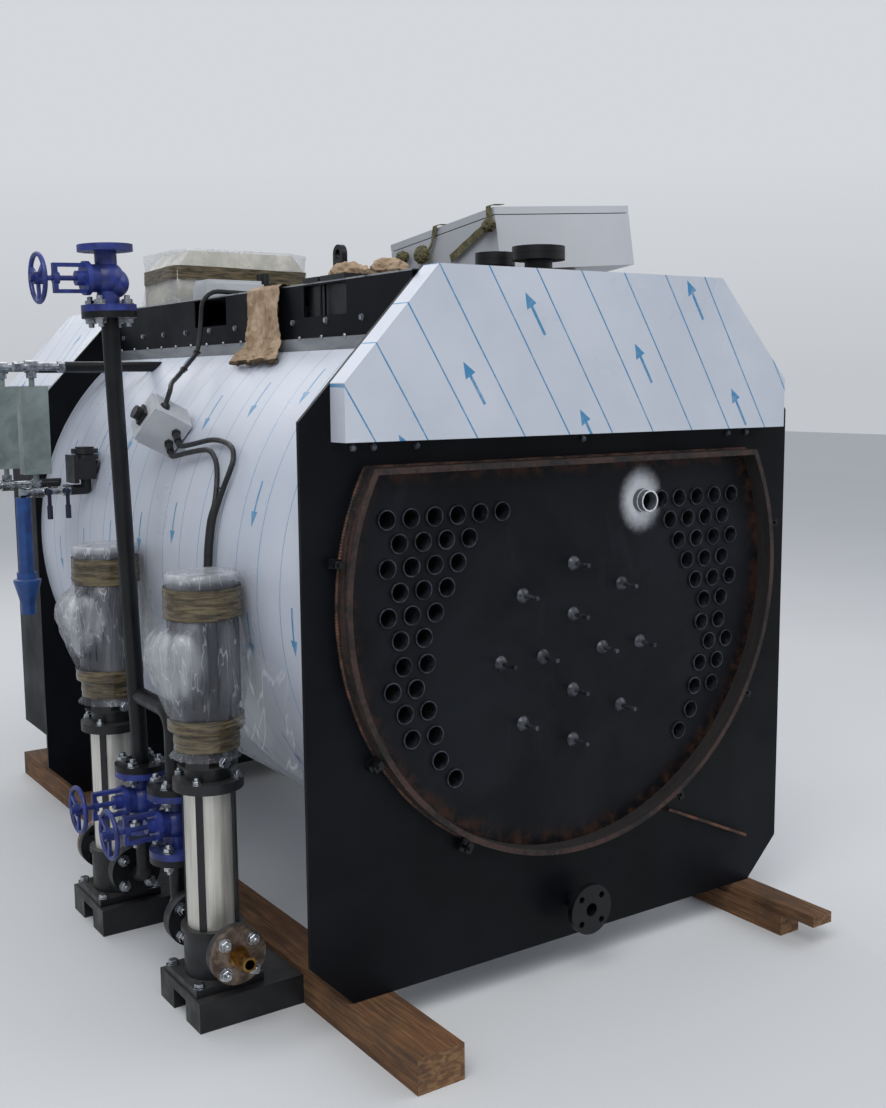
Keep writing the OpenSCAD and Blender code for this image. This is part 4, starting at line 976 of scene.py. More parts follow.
def copies(source: bpy.types.Object, places: Iterable[Matrix], name: str, finish: Coat,
           smooth: float = 35.0) -> None:
    """Copies one modelled piece to many places, each with its own mesh, joins them and ships them.

    Args:
        source: the piece, at the origin; it is deleted afterwards.
        places: a matrix for each copy.
        name: name of the joined piece.
        finish: its finish.
        smooth: shading angle in degrees.
    """
    made = []
    for matrix in places:
        one = source.copy()
        one.data = source.data.copy()
        one.data.transform(matrix)
        bpy.context.scene.collection.objects.link(one)
        made.append(one)
    bpy.data.objects.remove(source)
    complete(join(made), name, finish, smooth)


def clamp(share: float) -> float:
    """Returns the share, kept from 0 to 1."""
    return max(0.0, min(1.0, share))


def heading(turn: float) -> Vector:
    """Returns the level direction at an angle in radians."""
    return Vector((math.cos(turn), math.sin(turn), 0))


def ruffle(place: Vector, size: float, seed: float = 0.0) -> float:
    """Returns smooth noise from -1 to 1 at a place.

    Args:
        place: where it is read.
        size: width of one ripple.
        seed: shifts the pattern.
    """
    return noise.noise(place / size + Vector((seed, seed * 1.7, seed * 0.6)))


def ramp(steps: Sequence[tuple[float, float]], at: float) -> float:
    """Reads a broken line.

    Args:
        steps: pairs of place and value, by rising place.
        at: where it is read.

    Returns:
        The value there.
    """
    if at <= steps[0][0]:
        return steps[0][1]
    for (low, a), (high, b) in zip(steps, steps[1:]):
        if at <= high:
            return a + (b - a) * (at - low) / (high - low)
    return steps[-1][1]


def weave(name: str, rows: int, columns: int, where: Callable[[float, float], Vector],
          round_about: bool = False, cap: Optional[Vector] = None) -> bpy.types.Object:
    """Lays a sheet of quads through places given by a function.

    Args:
        name: the piece's name.
        rows: faces from the first edge to the last.
        columns: faces across.
        where: place for shares u across and v along, from 0 to 1.
        round_about: whether the last column meets the first.
        cap: a point that closes the first row, if any.

    Returns:
        The sheet.
    """
    shape = bmesh.new()
    count = columns if round_about else columns + 1
    grid = [[shape.verts.new(where(i / columns, j / rows)) for i in range(count)] for j in range(rows + 1)]
    for j in range(rows):
        for i in range(columns):
            k = (i + 1) % count
            shape.faces.new((grid[j][i], grid[j + 1][i], grid[j + 1][k], grid[j][k]))
    if cap is not None:
        middle = shape.verts.new(cap)
        for i in range(columns):
            shape.faces.new((middle, grid[0][i], grid[0][(i + 1) % count]))
    mesh = bpy.data.meshes.new(name)
    shape.to_mesh(mesh)
    shape.free()
    made = bpy.data.objects.new(name, mesh)
    bpy.context.scene.collection.objects.link(made)
    return made


# The stage


@dataclass
class Studio:
    """Floor, lamps and camera.

    Args:
        eye: camera's place.
        focal_px: focal length in pixels of the 886 by 1108 picture.
        tall_px: that picture's height.
        yaw, pitch, roll: camera's angles in degrees.
        floor_size: side of the floor.
        lamps: name, place and power of each soft lamp.
        lamp_size: side of a lamp.
        lamp_target: what the lamps look at.
    """

    eye: Place = (-2.2279, -2.6546, 1.5430)
    focal_px: float = 1286.64
    tall_px: float = 1108.0
    yaw: float = -34.142
    pitch: float = -7.598
    roll: float = -0.475
    floor_size: float = 60.0
    lamps: tuple[tuple[str, Place, float], ...] = (
        ("soft_key", (-3.5, -3.0, 6.5), 260.0), ("soft_fill", (4.5, -2.0, 5.0), 90.0),
        ("soft_back", (0.0, 6.5, 5.5), 120.0))
    lamp_size: float = 5.0
    lamp_target: Place = (0, 1.0, 0.9)

    def camera(self) -> None:
        """Sets the camera at the photograph's viewing angle."""
        data = bpy.data.cameras.new("view")
        cam = bpy.data.objects.new("view", data)
        bpy.context.scene.collection.objects.link(cam)
        yaw, pitch, roll = (math.radians(a) for a in (self.yaw, self.pitch, self.roll))
        ahead = Vector((-math.sin(yaw) * math.cos(pitch), math.cos(yaw) * math.cos(pitch), math.sin(pitch)))
        right = heading(yaw)
        up = right.cross(ahead)
        right_r = right * math.cos(roll) + up * math.sin(roll)
        up_r = up * math.cos(roll) - right * math.sin(roll)
        turn = Matrix((right_r, up_r, -ahead)).transposed().to_4x4()
        cam.matrix_world = Matrix.Translation(self.eye) @ turn
        data.sensor_width = 36.0
        data.lens = self.focal_px / self.tall_px * data.sensor_width
        data.clip_end = 100
        bpy.context.scene.camera = cam

    def floor(self) -> None:
        """Lays a plain pale floor."""
        ground = begin(bpy.ops.mesh.primitive_plane_add, size=self.floor_size, location=(0, 0, GROUND_Z))
        graph = Graph("pale_studio_floor")
        graph.close(Base_Color=graph.mix(graph.noise(900, 3), "#cfd0d1", "#d6d7d8"), Roughness=0.85)
        ground.name = "studio_floor"
        ground.data.materials.append(graph.material)

    def sky(self) -> None:
        """Spreads an even pale sky: it lights the object, and the eye sees a plain pale wall."""
        world = bpy.data.worlds.new("pale_sky")
        bpy.context.scene.world = world
        world.use_nodes = True
        tree = world.node_tree
        tree.nodes.clear()
        height = node(tree, "SeparateXYZ", inputs={0: node(tree, "TexCoord").outputs["Generated"]}).outputs[2]

        def band(low: float, high: float, start: float, below: Place, above: Place, strength: float) -> bpy.types.Node:
            """Adds a background that goes from one colour to another with height.

            Args:
                low, high: the heights between which it changes.
                start: share of the upper colour at the lower height.
                below, above: the two colours, linear.
                strength: its strength.

            Returns:
                The background's node.
            """
            rise = node(tree, "MapRange", inputs={"Value": height, "From Min": low, "From Max": high, "To Min": start})
            tone = node(tree, "Mix", {"data_type": "RGBA"}, {0: rise.outputs[0], 6: (*below, 1), 7: (*above, 1)})
            return node(tree, "Background", inputs={"Color": tone.outputs[2], "Strength": strength})

        lit = band(-0.1, 0.7, 0.35, (0.25, 0.26, 0.28), (0.80, 0.84, 0.90), 0.72)
        shown = band(0.0, 0.16, 0.0, (0.54, 0.56, 0.59), (0.66, 0.68, 0.71), 1.0)
        seen = node(tree, "LightPath").outputs["Is Camera Ray"]
        both = node(tree, "MixShader", inputs={0: seen, 1: lit.outputs[0], 2: shown.outputs[0]})
        node(tree, "OutputWorld", inputs={0: both.outputs[0]})

    def lights(self) -> None:
        """Hangs the soft lamps."""
        for name, place, power in self.lamps:
            data = bpy.data.lights.new(name, "AREA")
            data.energy = power
            data.size = self.lamp_size
            lamp = bpy.data.objects.new(name, data)
            lamp.location = place
            lamp.rotation_mode = "QUATERNION"
            lamp.rotation_quaternion = (Vector(self.lamp_target) - Vector(place)).to_track_quat("-Z", "Y")
            bpy.context.scene.collection.objects.link(lamp)

    def build(self) -> None:
        """Sets up everything round the object."""
        bpy.context.scene.view_settings.view_transform = "Standard"
        self.camera()
        self.floor()
        self.sky()
        self.lights()


# Fasteners and the weld


class Head(Enum):
    """Kind of fastener."""

    HEX = "hex"
    DOME = "dome"
    STUD = "stud"


@dataclass
class Fastener:
    """A bolt, nut or rivet, modelled once along +Z with its seat at the origin.

    Args:
        kind: hex head on a washer, domed rivet, or nut on a projecting stud.
        size: thread diameter.
    """

    kind: Head
    size: float

    def dome(self) -> bpy.types.Object:
        """Makes a flat dome.

        Returns:
            The dome.
        """
        obj = begin(bpy.ops.mesh.primitive_uv_sphere_add, segments=12, ring_count=8, radius=self.size)
        with editing():
            bpy.ops.mesh.bisect(plane_co=(0, 0, 0), plane_no=(0, 0, 1), clear_inner=True, use_fill=True)
            bpy.ops.mesh.select_all(action="SELECT")
            bpy.ops.transform.resize(value=(1, 1, 0.55))
        return obj

    def rod(self, sides: int, radius: float, low: float, tall: float) -> bpy.types.Object:
        """Makes an upright prism, with its sizes in thread diameters.

        Args:
            sides: its sides.
            radius: its radius.
            low: height of its foot.
            tall: its height.

        Returns:
            The prism.
        """
        return begin(bpy.ops.mesh.primitive_cylinder_add, vertices=sides, radius=self.size * radius,
                     depth=self.size * tall, location=(0, 0, self.size * (low + tall / 2)))

    def make(self) -> bpy.types.Object:
        """Makes the fastener at the origin.

        Returns:
            The fastener.
        """
        if self.kind is Head.DOME:
            return self.dome()
        washer = 0.18
        parts = [self.rod(20, 1.1, 0, washer), self.rod(6, 0.95, washer, 0.7)]
        bevel_edges(parts[1], self.size * 0.07, 1, 70)
        if self.kind is Head.STUD:
            parts.append(self.rod(14, 0.5, washer, 1.35))
            bevel_edges(parts[2], self.size * 0.08, 1, 60)
        made = join(parts)
        pick(made)
        bpy.ops.object.transform_apply(location=True, rotation=True, scale=True)
        return made


def bolt_ring(centre: Sequence[float], axis: Vector, facing: Vector, circle: float, roll: float) -> list[Matrix]:
    """Lays four places on a bolt circle, one in each quarter.

    Args:
        centre: middle of the circle.
        axis: direction through it.
        facing: direction that the bolts look in.
        circle: the circle's radius.
        roll: turn from bolt to bolt, in radians.

    Returns:
        One matrix for each bolt.
    """
    side = (RIGHT - axis * axis.x).normalized()
    other = axis.cross(side)
    found = []
    for step in range(4):
        turn = math.radians(45 + 90 * step)
        spot = Vector(centre) + (side * math.cos(turn) + other * math.sin(turn)) * circle
        found.append(aim(spot, facing, roll * step))
    return found


@dataclass
class FlangeBolts:
    """Nuts and studs on both sides of each of the feed line's flange joints.

    Args:
        branches: the valves' places along the shell.
        levels: heights of the joints under and over the valves.
        elbows: places and height of the joints at the pumps' outlets.
        flange: thickness of a flange.
        size: thread diameter.
        lean: lean of the riser in degrees.
        riser: length of the riser up to the top valve's joint.
    """

    branches: tuple[float, float] = (0.600, 0.850)
    levels: tuple[float, float] = (0.258, 0.438)
    elbows: tuple[tuple[float, float], ...] = ((0.510, 0.102), (0.940, 0.102))
    flange: float = 0.018
    size: float = 0.016
    lean: float = 1.7
    riser: float = 1.307

    def build(self) -> None:
        """Makes and ships them."""
        lean = math.radians(self.lean)
        away = Vector((-math.sin(lean), 0, math.cos(lean)))
        joints = [(Vector((PUMP_X, y, z)), UP) for y in self.branches for z in self.levels]
        joints += [(Vector((PUMP_X, y, z)), BACK) for y, z in self.elbows]
        joints.append((Vector((PUMP_X, self.branches[1], self.levels[1])) + away * self.riser, away))
        places: list[Matrix] = []
        for centre, axis in joints:
            for way in (1, -1):
                places += bolt_ring(centre + axis * way * self.flange, axis, axis * way, BOLT_CIRCLE, 0.3)
        copies(Fastener(Head.STUD, self.size).make(), places, "flange_nuts", ZINC)


@dataclass
class RimWeld:
    """Rippled fillet weld round the outer foot of the smokebox rim.

    Args:
        radius: outer radius of the rim.
        chord_z: height of the rim's flat top.
        bead: radius of the bead.
        pitch: distance from ripple to ripple.
        columns: faces round the bead.
    """

    radius: float = 0.736
    chord_z: float = 1.341
    bead: float = 0.0052
    pitch: float = 0.008
    columns: int = 8

    def build(self) -> None:
        """Makes the bead as one closed run: round the arc, then back along the flat top."""
        corner = math.asin((self.chord_z - AXIS_Z) / self.radius)
        half = self.radius * math.cos(corner)
        arc = (math.pi + 2 * corner) * self.radius
        length = arc + 2 * half
        ripples = round(length / self.pitch)

        def at(u: float, v: float) -> Vector:
            """Finds a place on the bead.

            Args:
                u: share of the way round it.
                v: share of the way along it.

            Returns:
                The place.
            """
            run = (v * length) % length
            if run < arc:
                turn = math.pi - corner + run / self.radius
                out = Vector((math.cos(turn), 0, math.sin(turn)))
                place = UP * AXIS_Z + out * self.radius
            else:
                out = UP
                place = Vector((half - (run - arc), 0, self.chord_z))
            wave = 1 + 0.13 * math.sin(v * ripples * math.tau) + 0.16 * ruffle(place, 0.06, 3.0)
            r = self.bead * wave
            sink = Vector((0, -0.0005 - r * math.sin(u * math.tau), 0))
            return place + out * (0.001 + r * math.cos(u * math.tau)) + sink

        weld = weave("rim_weld", ripples * 4, self.columns, at, True)
        pick(weld)
        with editing():
            bpy.ops.mesh.remove_doubles(threshold=0.0001)
            bpy.ops.mesh.normals_make_consistent(inside=False)
        complete(weld, "rim_weld", WELD, 80)


@dataclass
class DeckFasteners:
    """Rivets along the deck's base strips and bolts on its side panels.

    Args:
        rivets, bolts: first place along the shell, step, count, height and distance from the centre plane.
    """

    rivets: tuple[float, ...] = (0.08, 0.126, 16, 1.668, 0.5093)
    bolts: tuple[float, ...] = (0.06, 0.19, 11, 1.712, 0.5043)

    @staticmethod
    def places(first: float, step: float, count: int, z: float, half: float) -> list[Matrix]:
        """Returns the places of one row on both sides."""
        return [aim((side * half, first + step * i, z), (side, 0, 0)) for side in (-1, 1) for i in range(count)]

    def build(self) -> None:
        """Makes and ships them."""
        copies(Fastener(Head.DOME, 0.0062).make(), self.places(*self.rivets), "strip_rivets", ZINC)
        copies(Fastener(Head.HEX, 0.008).make(), self.places(*self.bolts), "panel_bolts", ZINC)


@dataclass
class SmallHardware:
    """Screws, plugs, tie nuts, flange bolts, cable ties and the black cock grip.

    Args:
        screws: the hood screws' distances from the centre plane.
        ties: place and direction of each cable tie.
        grip_at: middle of the cock grip.
        outlet: distance from a pump to its suction flange's bolts.
    """

    screws: tuple[float, ...] = (-0.685, -0.627, -0.504, 0.028, 0.580, 0.655)
    ties: tuple[tuple[Place, Place], ...] = (
        ((-0.592, 1.110, 1.640), (-30, -24, -26)), ((-0.657, 1.062, 1.588), (-38, -30, -26)),
        ((-0.785, 0.5385, 1.266), (-14, 4, -46)), ((-0.8265, 0.5395, 1.090), (-4, -1, -48)))
    grip_at: Place = (-0.928, 1.560, 1.2262)
    outlet: float = 0.1581

    def hood_screws(self) -> None:
        """Screws that hold the near hood on the end plate, under its lower edge."""
        places = [aim((x, -0.0005, 1.390), -BACK, i) for i, x in enumerate(self.screws)]
        copies(Fastener(Head.HEX, 0.008).make(), places, "hood_screws", DULL_ZINC)

    def pump_bolts(self) -> None:
        """Foot bolts, tie nuts, suction flange bolts and head plugs of both pumps."""
        feet, ties, flanges, plugs = [], [], [], []
        plug_way = heading(math.radians(-82))
        for y, way in ((NEAR_Y, -1), (FAR_Y, 1)):
            feet += [aim((PUMP_X + side * 0.080, y + end * 0.085, 0.0104), UP, 0.4)
                     for side in (-1, 1) for end in (-1, 1)]
            ties += bolt_ring((PUMP_X, y, 0.5352), UP, UP, 0.079, 1.0)
            flanges += bolt_ring((PUMP_X, y + way * self.outlet, 0.102), -BACK, BACK * way, BOLT_CIRCLE, 1.0)
            plugs.append(aim(Vector((PUMP_X, y, 0.588)) + plug_way * 0.0785, plug_way, 0.3))
        copies(Fastener(Head.HEX, 0.014).make(), feet, "pump_foot_bolts", ZINC)
        copies(Fastener(Head.STUD, 0.012).make(), ties, "pump_tie_nuts", ZINC)
        copies(Fastener(Head.STUD, 0.016).make(), flanges, "suction_bolts", ZINC)
        copies(Fastener(Head.HEX, 0.015).make(), plugs, "head_plugs", ZINC)

    def cable_ties(self) -> None:
        """Narrow black ties round the cables: a flat band, its head and its cut tail."""
        head = ((0.0118, 0, 0), (0.0042, 0.0058, 0.0052))
        tail = ((0.0113, 0.0062, 0), (0.0012, 0.0075, 0.0034))
        band = begin(bpy.ops.mesh.primitive_torus_add, major_radius=0.0094, minor_radius=0.0012,
                     major_segments=28, minor_segments=8)
        with editing():
            bpy.ops.transform.resize(value=(1, 1, 1.9))
            for centre, size in (head, tail):
                bpy.ops.mesh.primitive_cube_add(size=1, location=centre)
                bpy.ops.transform.resize(value=size)
                bpy.ops.mesh.bevel(offset=0.0005, segments=2)
        copies(band, [aim(*tie) for tie in self.ties], "cable_ties", BLACK_PA, 60)

    def cock_grip(self) -> None:
        """The black grip that lies across the near gauge's lower cock."""
        grip = begin(bpy.ops.mesh.primitive_cube_add, size=1, location=self.grip_at)
        grip.scale = (0.062, 0.013, 0.0085)
        bpy.ops.object.transform_apply(location=True, rotation=True, scale=True)
        with editing():
            bpy.ops.mesh.bevel(offset=0.0035, segments=3)
        stem = begin(bpy.ops.mesh.primitive_cylinder_add, vertices=18, radius=0.005, depth=0.012,
                     location=Vector(self.grip_at) - UP * 0.0076)
        bevel_edges(stem, 0.0008, 1)
        complete(join([grip, stem]), "near_cock_grip", BLACK_PA)

    def build(self) -> None:
        """Makes and ships it all."""
        self.hood_screws()
        self.pump_bolts()
        self.cable_ties()
        self.cock_grip()


# Film, cloth and straps


@dataclass
class PumpWrap:
    """Clear bag over a pump's motor, held by two bands of brown tape.

    Args:
        name: which pump.
        centre_y: the pump's place along the shell.
        swell: how far the bag bellies out.
        clear: the bag's finish.
        tail: whether a loose corner hangs off its side.
        lobe: direction of the belly in degrees.
        cap_z: height of the bag's top edge.
        cap_share: share of its rows that lie on its top.
        columns: faces round the bag.
        rows: faces from the top down.
        upper, lower: heights between which each tape lies.
        profile: heights and radii of the bag where it lies tight.
        around: girth of the bag before it is gathered; not used.
    """

    name: str
    centre_y: float
    swell: float
    clear: ClearWrap
    tail: bool = False
    lobe: float = 190.0
    cap_z: float = 1.0710
    cap_share: float = 0.14
    columns: int = 132
    rows: int = 84
    upper: tuple[float, float] = (0.958, 1.036)
    lower: tuple[float, float] = (0.616, 0.702)
    profile: tuple[tuple[float, float], ...] = (
        (0.594, 0.0890), (0.606, 0.0835), (0.618, 0.0822), (0.660, 0.0826), (0.668, 0.0958), (0.700, 0.0965),
        (0.730, 0.0985), (0.780, 0.1030), (0.840, 0.1060), (0.900, 0.1040), (0.940, 0.0995), (0.955, 0.0968),
        (1.040, 0.0968), (1.058, 0.0962), (1.066, 0.0945), (1.0705, 0.0890))
    around: float = 0.60

    def place(self, r: float, turn: float, z: float) -> Vector:
        """Returns a place round the pump's middle line."""
        return Vector((PUMP_X, self.centre_y, z)) + heading(turn) * r

    def radius(self, turn: float, z: float) -> float:
        """Reads the bag's radius.

        Args:
            turn: direction from the pump's middle, in radians.
            z: height.

        Returns:
            The radius there.
        """
        way = heading(turn)
        off = (math.degrees(turn) - self.lobe + 180) % 360 - 180
        # The belly opens under the upper tape and is drawn in above the lower one
        opened, drawn_in = clamp((0.957 - z) / 0.085), clamp((z - 0.695) / 0.165)
        belly = math.exp(-((off / 54) ** 4)) * math.sin(opened * math.pi / 2) * drawn_in
        # Folds run steeply down the free part between the tapes, deepest on the belly
        free = clamp((z - 0.700) / 0.05) * clamp((0.952 - z) / 0.03)
        slant = way * 0.10 + UP * ((z - 0.8) * 0.28 + off * 0.0006)
        pleats = max(0.0, 1.0 - 2.6 * abs(ruffle(way * 0.13 + UP * z * 0.14, 0.026, 9.0)))
        folds = (0.0034 * ruffle(slant, 0.017, self.centre_y) + 0.0050 * abs(ruffle(slant, 0.040, 3.1))
                 + (0.002 + 0.015 * belly) * pleats)
        gather = 0.0030 * ruffle(way * 0.10 + UP * z * 0.03, 0.008, 7.0)
        # Frilled edge under the lower tape
        hem = 0.016 * clamp((0.614 - z) / 0.016) * abs(ruffle(way * 0.10 + UP * z * 0.3, 0.0085, 1.0))
        fine = 0.0011 * ruffle(way * 0.1 + UP * z, 0.009, 5.0)
        out = ramp(self.profile, z) + self.swell * belly + free * (folds + gather) + hem + fine
        # Never inside the pump's neck or its motor
        return max(out, 0.0815 if z < 0.664 else 0.0945)

    def at(self, u: float, v: float) -> Vector:
        """Finds a place on the bag.

        Args:
            u: share of the way round it.
            v: share of the way from the middle of its top down.

        Returns:
            The place.
        """
        turn = u * math.tau
        if v >= self.cap_share:
            share = (v - self.cap_share) / (1 - self.cap_share)
            z = self.cap_z - share * (self.cap_z - self.profile[0][0])
            return self.place(self.radius(turn, z), turn, z)
        share = v / self.cap_share
        r = 0.006 + 0.083 * share
        crumple = 0.0034 * abs(ruffle(heading(turn) * r, 0.030, self.centre_y)) * (1 - share ** 4)
        z = self.cap_z + 0.0046 * (1 - share ** 3) + crumple - 0.004 * (1 - share ** 2)
        return self.place(r, turn, z)

    def film(self) -> None:
        """Makes the bag itself."""
        top = Vector((PUMP_X, self.centre_y, self.cap_z + 0.001))
        bag = weave(self.name + "_pump_bag", self.rows, self.columns, self.at, True, top)
        settle(bag, bag.name, self.clear, 80)
        ship(bag)

    def band(self, name: str, low: float, high: float) -> None:
        """Makes one band of tape wound round the bag.

        Args:
            name: the piece's name.
            low, high: heights of its edges.
        """
        seed = low * 9 + self.centre_y

        def at(u: float, v: float) -> Vector:
            """Finds a place on the tape.

            Args:
                u: share of the way round it.
                v: share of the way from its top down.

            Returns:
                The place.
            """
            turn, rise = u * math.tau, 1 - v
            way = heading(turn)
            ragged = 0.0022 * ruffle(way * 0.1, 0.05, seed)
            z = low + (high - low) * rise + ragged * (1 - 0.6 * rise)
            lap = 0.0007 * (math.floor(rise * 5 + 0.8 * ruffle(way * 0.1, 0.07, seed + 2)) % 2)
            wrinkle = 0.0011 * ruffle(way * 0.05 + UP * z * 2.4, 0.012, seed)
            inner = self.radius(turn, min(max(z, low), high))
            return self.place(inner + 0.0019 + lap + max(wrinkle, -0.0009), turn, z)

        tape = weave(name, 22, self.columns, at, True)
        thicken(tape, 0.0004)
        complete(tape, name, TAPE, 60)

    def loose_corner(self) -> None:
        """Makes the corner of film that hangs free off the bag's side."""
        way = Vector((0.3, -0.954, 0)).normalized()
        side = Vector((0.954, 0.3, 0)).normalized()

        def at(u: float, v: float) -> Vector:
            """Finds a place on the corner.

            Args:
                u: share of the way away from the bag.
                v: share of the way down.

            Returns:
                The place.
            """
            top = Vector((0.0975 + 0.190 * u, 0, 0.952 - 0.105 * u))
            low = Vector((0.0975 + 0.245 * u, 0, 0.712 - 0.125 * u))
            spot = top.lerp(low, v)
            swing = u * (0.016 * ruffle(spot, 0.085, 2.0)
                         + 0.011 * ruffle(Vector((spot.x * 1.6, 0, spot.z * 0.4)), 0.030, 4.0))
            edge = 0.010 * u * ruffle(UP * (spot.z + spot.x), 0.06, 8.0)
            return (Vector((PUMP_X, self.centre_y, spot.z)) + way * (spot.x + edge)
                    + side * (swing - 0.020 * math.sin(u * math.pi)))

        flap = weave(self.name + "_bag_corner", 44, 40, at)
        settle(flap, flap.name, TAIL_FILM, 80)
        ship(flap)

    def build(self) -> None:
        """Makes the bag, its tapes and its loose corner."""
        self.film()
        self.band(self.name + "_upper_tape", *self.upper)
        self.band(self.name + "_lower_tape", *self.lower)
        if self.tail:
            self.loose_corner()


@dataclass
class CaseWrap:
    """Stretch film tented over the instrument case on the deck, with a band of tape.

    Args:
        middle: centre of the case on the deck.
        half_x: half of the case's length.
        half_y: half of its width.
        deck_z: height that the film comes down to.
        top_z: height of the film over the case.
        tape_z: height of the tape's top edge.
        tape_wide: width of the tape.
        top_share: share of the film's rows that lie on its top.
        columns: faces round the case.
        around: girth of the case with its folds; not used.
    """

    middle: tuple[float, float] = (-0.190, 1.750)
    half_x: float = 0.250
    half_y: float = 0.150
    deck_z: float = 1.8176
    top_z: float = 2.0085
    tape_z: float = 1.948
    tape_wide: float = 0.046
    top_share: float = 0.42
    columns: int = 168
    around: float = 1.20

    def wall(self, turn: float, z: float, out: float) -> Vector:
        """Finds a place on the film's wall.

        Args:
            turn: direction from the case's middle, in radians.
            z: height.
            out: distance from the case.

        Returns:
            The place.
        """
        c, s = math.cos(turn), math.sin(turn)
        power = 12.0  # of the rounded rectangle
        r = (abs(c) ** power + abs(s) ** power) ** (-1 / power)
        return Vector((self.middle[0] + (self.half_x + out) * c * r,
                       self.middle[1] + (self.half_y + out) * s * r, z))

    def at(self, u: float, v: float) -> Vector:
        """Finds a place on the film.

        Args:
            u: share of the way round it.
            v: share of the way from the middle of its top down.

        Returns:
            The place.
        """
        turn, edge = u * math.tau, 0.004
        if v < self.top_share:
            share = 0.03 + 0.97 * v / self.top_share
            spot = Vector((*self.middle, 0)).lerp(self.wall(turn, self.top_z, edge), share)
            tent = edge + 0.006 * max(0.0, ruffle(spot, 0.11, 3.0)) + 0.004 * abs(ruffle(spot, 0.035, 5.0))
            spot.z = self.top_z + tent * (1 - share ** 8) - edge * share ** 6
            return spot
        share = (v - self.top_share) / (1 - self.top_share)
        z = self.top_z - edge - share * (self.top_z - edge - self.deck_z)
        # Held in at the tape, loose above and below it, and flared on the deck
        bound = math.exp(-(((z - self.tape_z + self.tape_wide / 2) / 0.046) ** 6))
        probe = self.wall(turn, z, 0.0)
        folds = 0.010 * abs(ruffle(Vector((probe.x, probe.y, z * 0.35)), 0.045, 2.0))
        folds += 0.004 * ruffle(probe, 0.018, 6.0)
        return self.wall(turn, z, 0.007 + (1 - bound) * max(folds, -0.002) + 0.012 * share ** 3)

    def build(self) -> None:
        """Makes the film and its tape."""
        top = Vector((*self.middle, self.top_z + 0.006))
        film = weave("case_film", 92, self.columns, self.at, True, top)
        settle(film, film.name, BOX_FILM, 80)
        ship(film)

        def round_case(u: float, v: float) -> Vector:
            """Finds a place on the tape.

            Args:
                u: share of the way round the case.
                v: share of the way from its top edge down.

            Returns:
                The place.
            """
            turn = u * math.tau
            z = self.tape_z - self.tape_wide * v + 0.003 * math.sin(turn * 2)
            probe = self.wall(turn, z, 0.0)
            return self.wall(turn, z, 0.0105 + 0.0012 * ruffle(Vector((probe.x, probe.y, z * 3)), 0.02, 4.0))

        tape = weave("case_tape", 12, self.columns, round_case, True)
        thicken(tape, 0.0005)
        complete(tape, tape.name, TAPE, 60)


@dataclass
class Rag:
    """Crumpled tan rag that hangs over the deck's edge.

    Args:
        way: its path across the edge, as pairs of distance from the centre plane and height.
        top_y: its near and far side on the deck.
        low_y: its near and far side at its lower end.
        wide: its flat width; not used.
        columns: faces across.
    """

    way: tuple[tuple[float, float], ...] = (
        (-0.452, 1.8215), (-0.480, 1.8225), (-0.503, 1.8245), (-0.5165, 1.814), (-0.5195, 1.775), (-0.520, 1.735),
        (-0.5205, 1.700), (-0.524, 1.670), (-0.533, 1.645), (-0.546, 1.628), (-0.556, 1.612), (-0.550, 1.604))
    top_y: tuple[float, float] = (0.700, 0.868)
    low_y: tuple[float, float] = (0.640, 0.912)
    wide: float = 0.30
    columns: int = 90

    def at(self, u: float, v: float) -> Vector:
        """Finds a place on the rag.

        Args:
            u: share of the way from its far side.
            v: share of the way from the deck down.

        Returns:
            The place.
        """
        steps = v * (len(self.way) - 1)
        k = min(int(steps), len(self.way) - 2)
        t = steps - k
        smooth = t * t * (3 - 2 * t) * 0.35 + t * 0.65
        (x0, z0), (x1, z1) = self.way[k], self.way[k + 1]
        x, z = x0 + (x1 - x0) * smooth, z0 + (z1 - z0) * smooth
        near = self.top_y[0] + (self.low_y[0] - self.top_y[0]) * v
        far = self.top_y[1] + (self.low_y[1] - self.top_y[1]) * v ** 1.2
        across = 1 - u
        y = near + (far - near) * across + 0.010 * math.sin(v * 9) * (across - 0.5)
        # Folds run down it and grow towards the lower end; on the deck they stand up, past it they stand out
        folds = (0.020 * abs(ruffle(Vector((0, y, v * 0.10)), 0.034, 1.0))
                 + 0.012 * abs(ruffle(Vector((0, y, v * 0.05)), 0.013, 4.0))
                 + 0.004 * ruffle(Vector((v * 0.3, y, 0)), 0.010, 9.0))
        lift = max(folds, 0.0) * (0.35 + 0.65 * min(1.0, v * 2.2) + 0.9 * max(0.0, v - 0.86) * 5)
        on_top = max(0.0, 1 - v * 5.5)
        sway = 0.006 * ruffle(Vector((0, v, across)), 0.12, 2.0)
        uneven = 0.004 * ruffle(Vector((0, y, v)), 0.02, 3.0) * v
        return Vector((x - lift * (1 - on_top), y + sway, z + lift * on_top * 0.8 + uneven))

    def hem(self, u: float, v: float) -> Vector:
        """Finds a place on the roll along its lower edge.

        Args:
            u: share of the way across the rag.
            v: share of the way round the roll.

        Returns:
            The place.
        """
        turn = v * math.tau
        spine = self.at(u, 0.985)
        level = BACK * spine.y
        r = 0.0055 + 0.003 * abs(ruffle(level, 0.02, 5.0))
        wave = 0.010 * ruffle(level, 0.035, 7.0)
        return spine + Vector((-0.002 + r * math.cos(turn), 0, wave + r * math.sin(turn)))

    def build(self) -> None:
        """Makes the rag and its rolled lower hem."""
        rag = weave("wiping_rag", 110, self.columns, self.at)
        settle(rag, rag.name, RAG, 80)
        ship(rag)
        # The hem's dark colour is painted shadow under the rag's lower edge
        roll = weave("wiping_rag_hem", 16, self.columns, self.hem)
        complete(roll, roll.name, RAG_HEM_SHADE, 80)


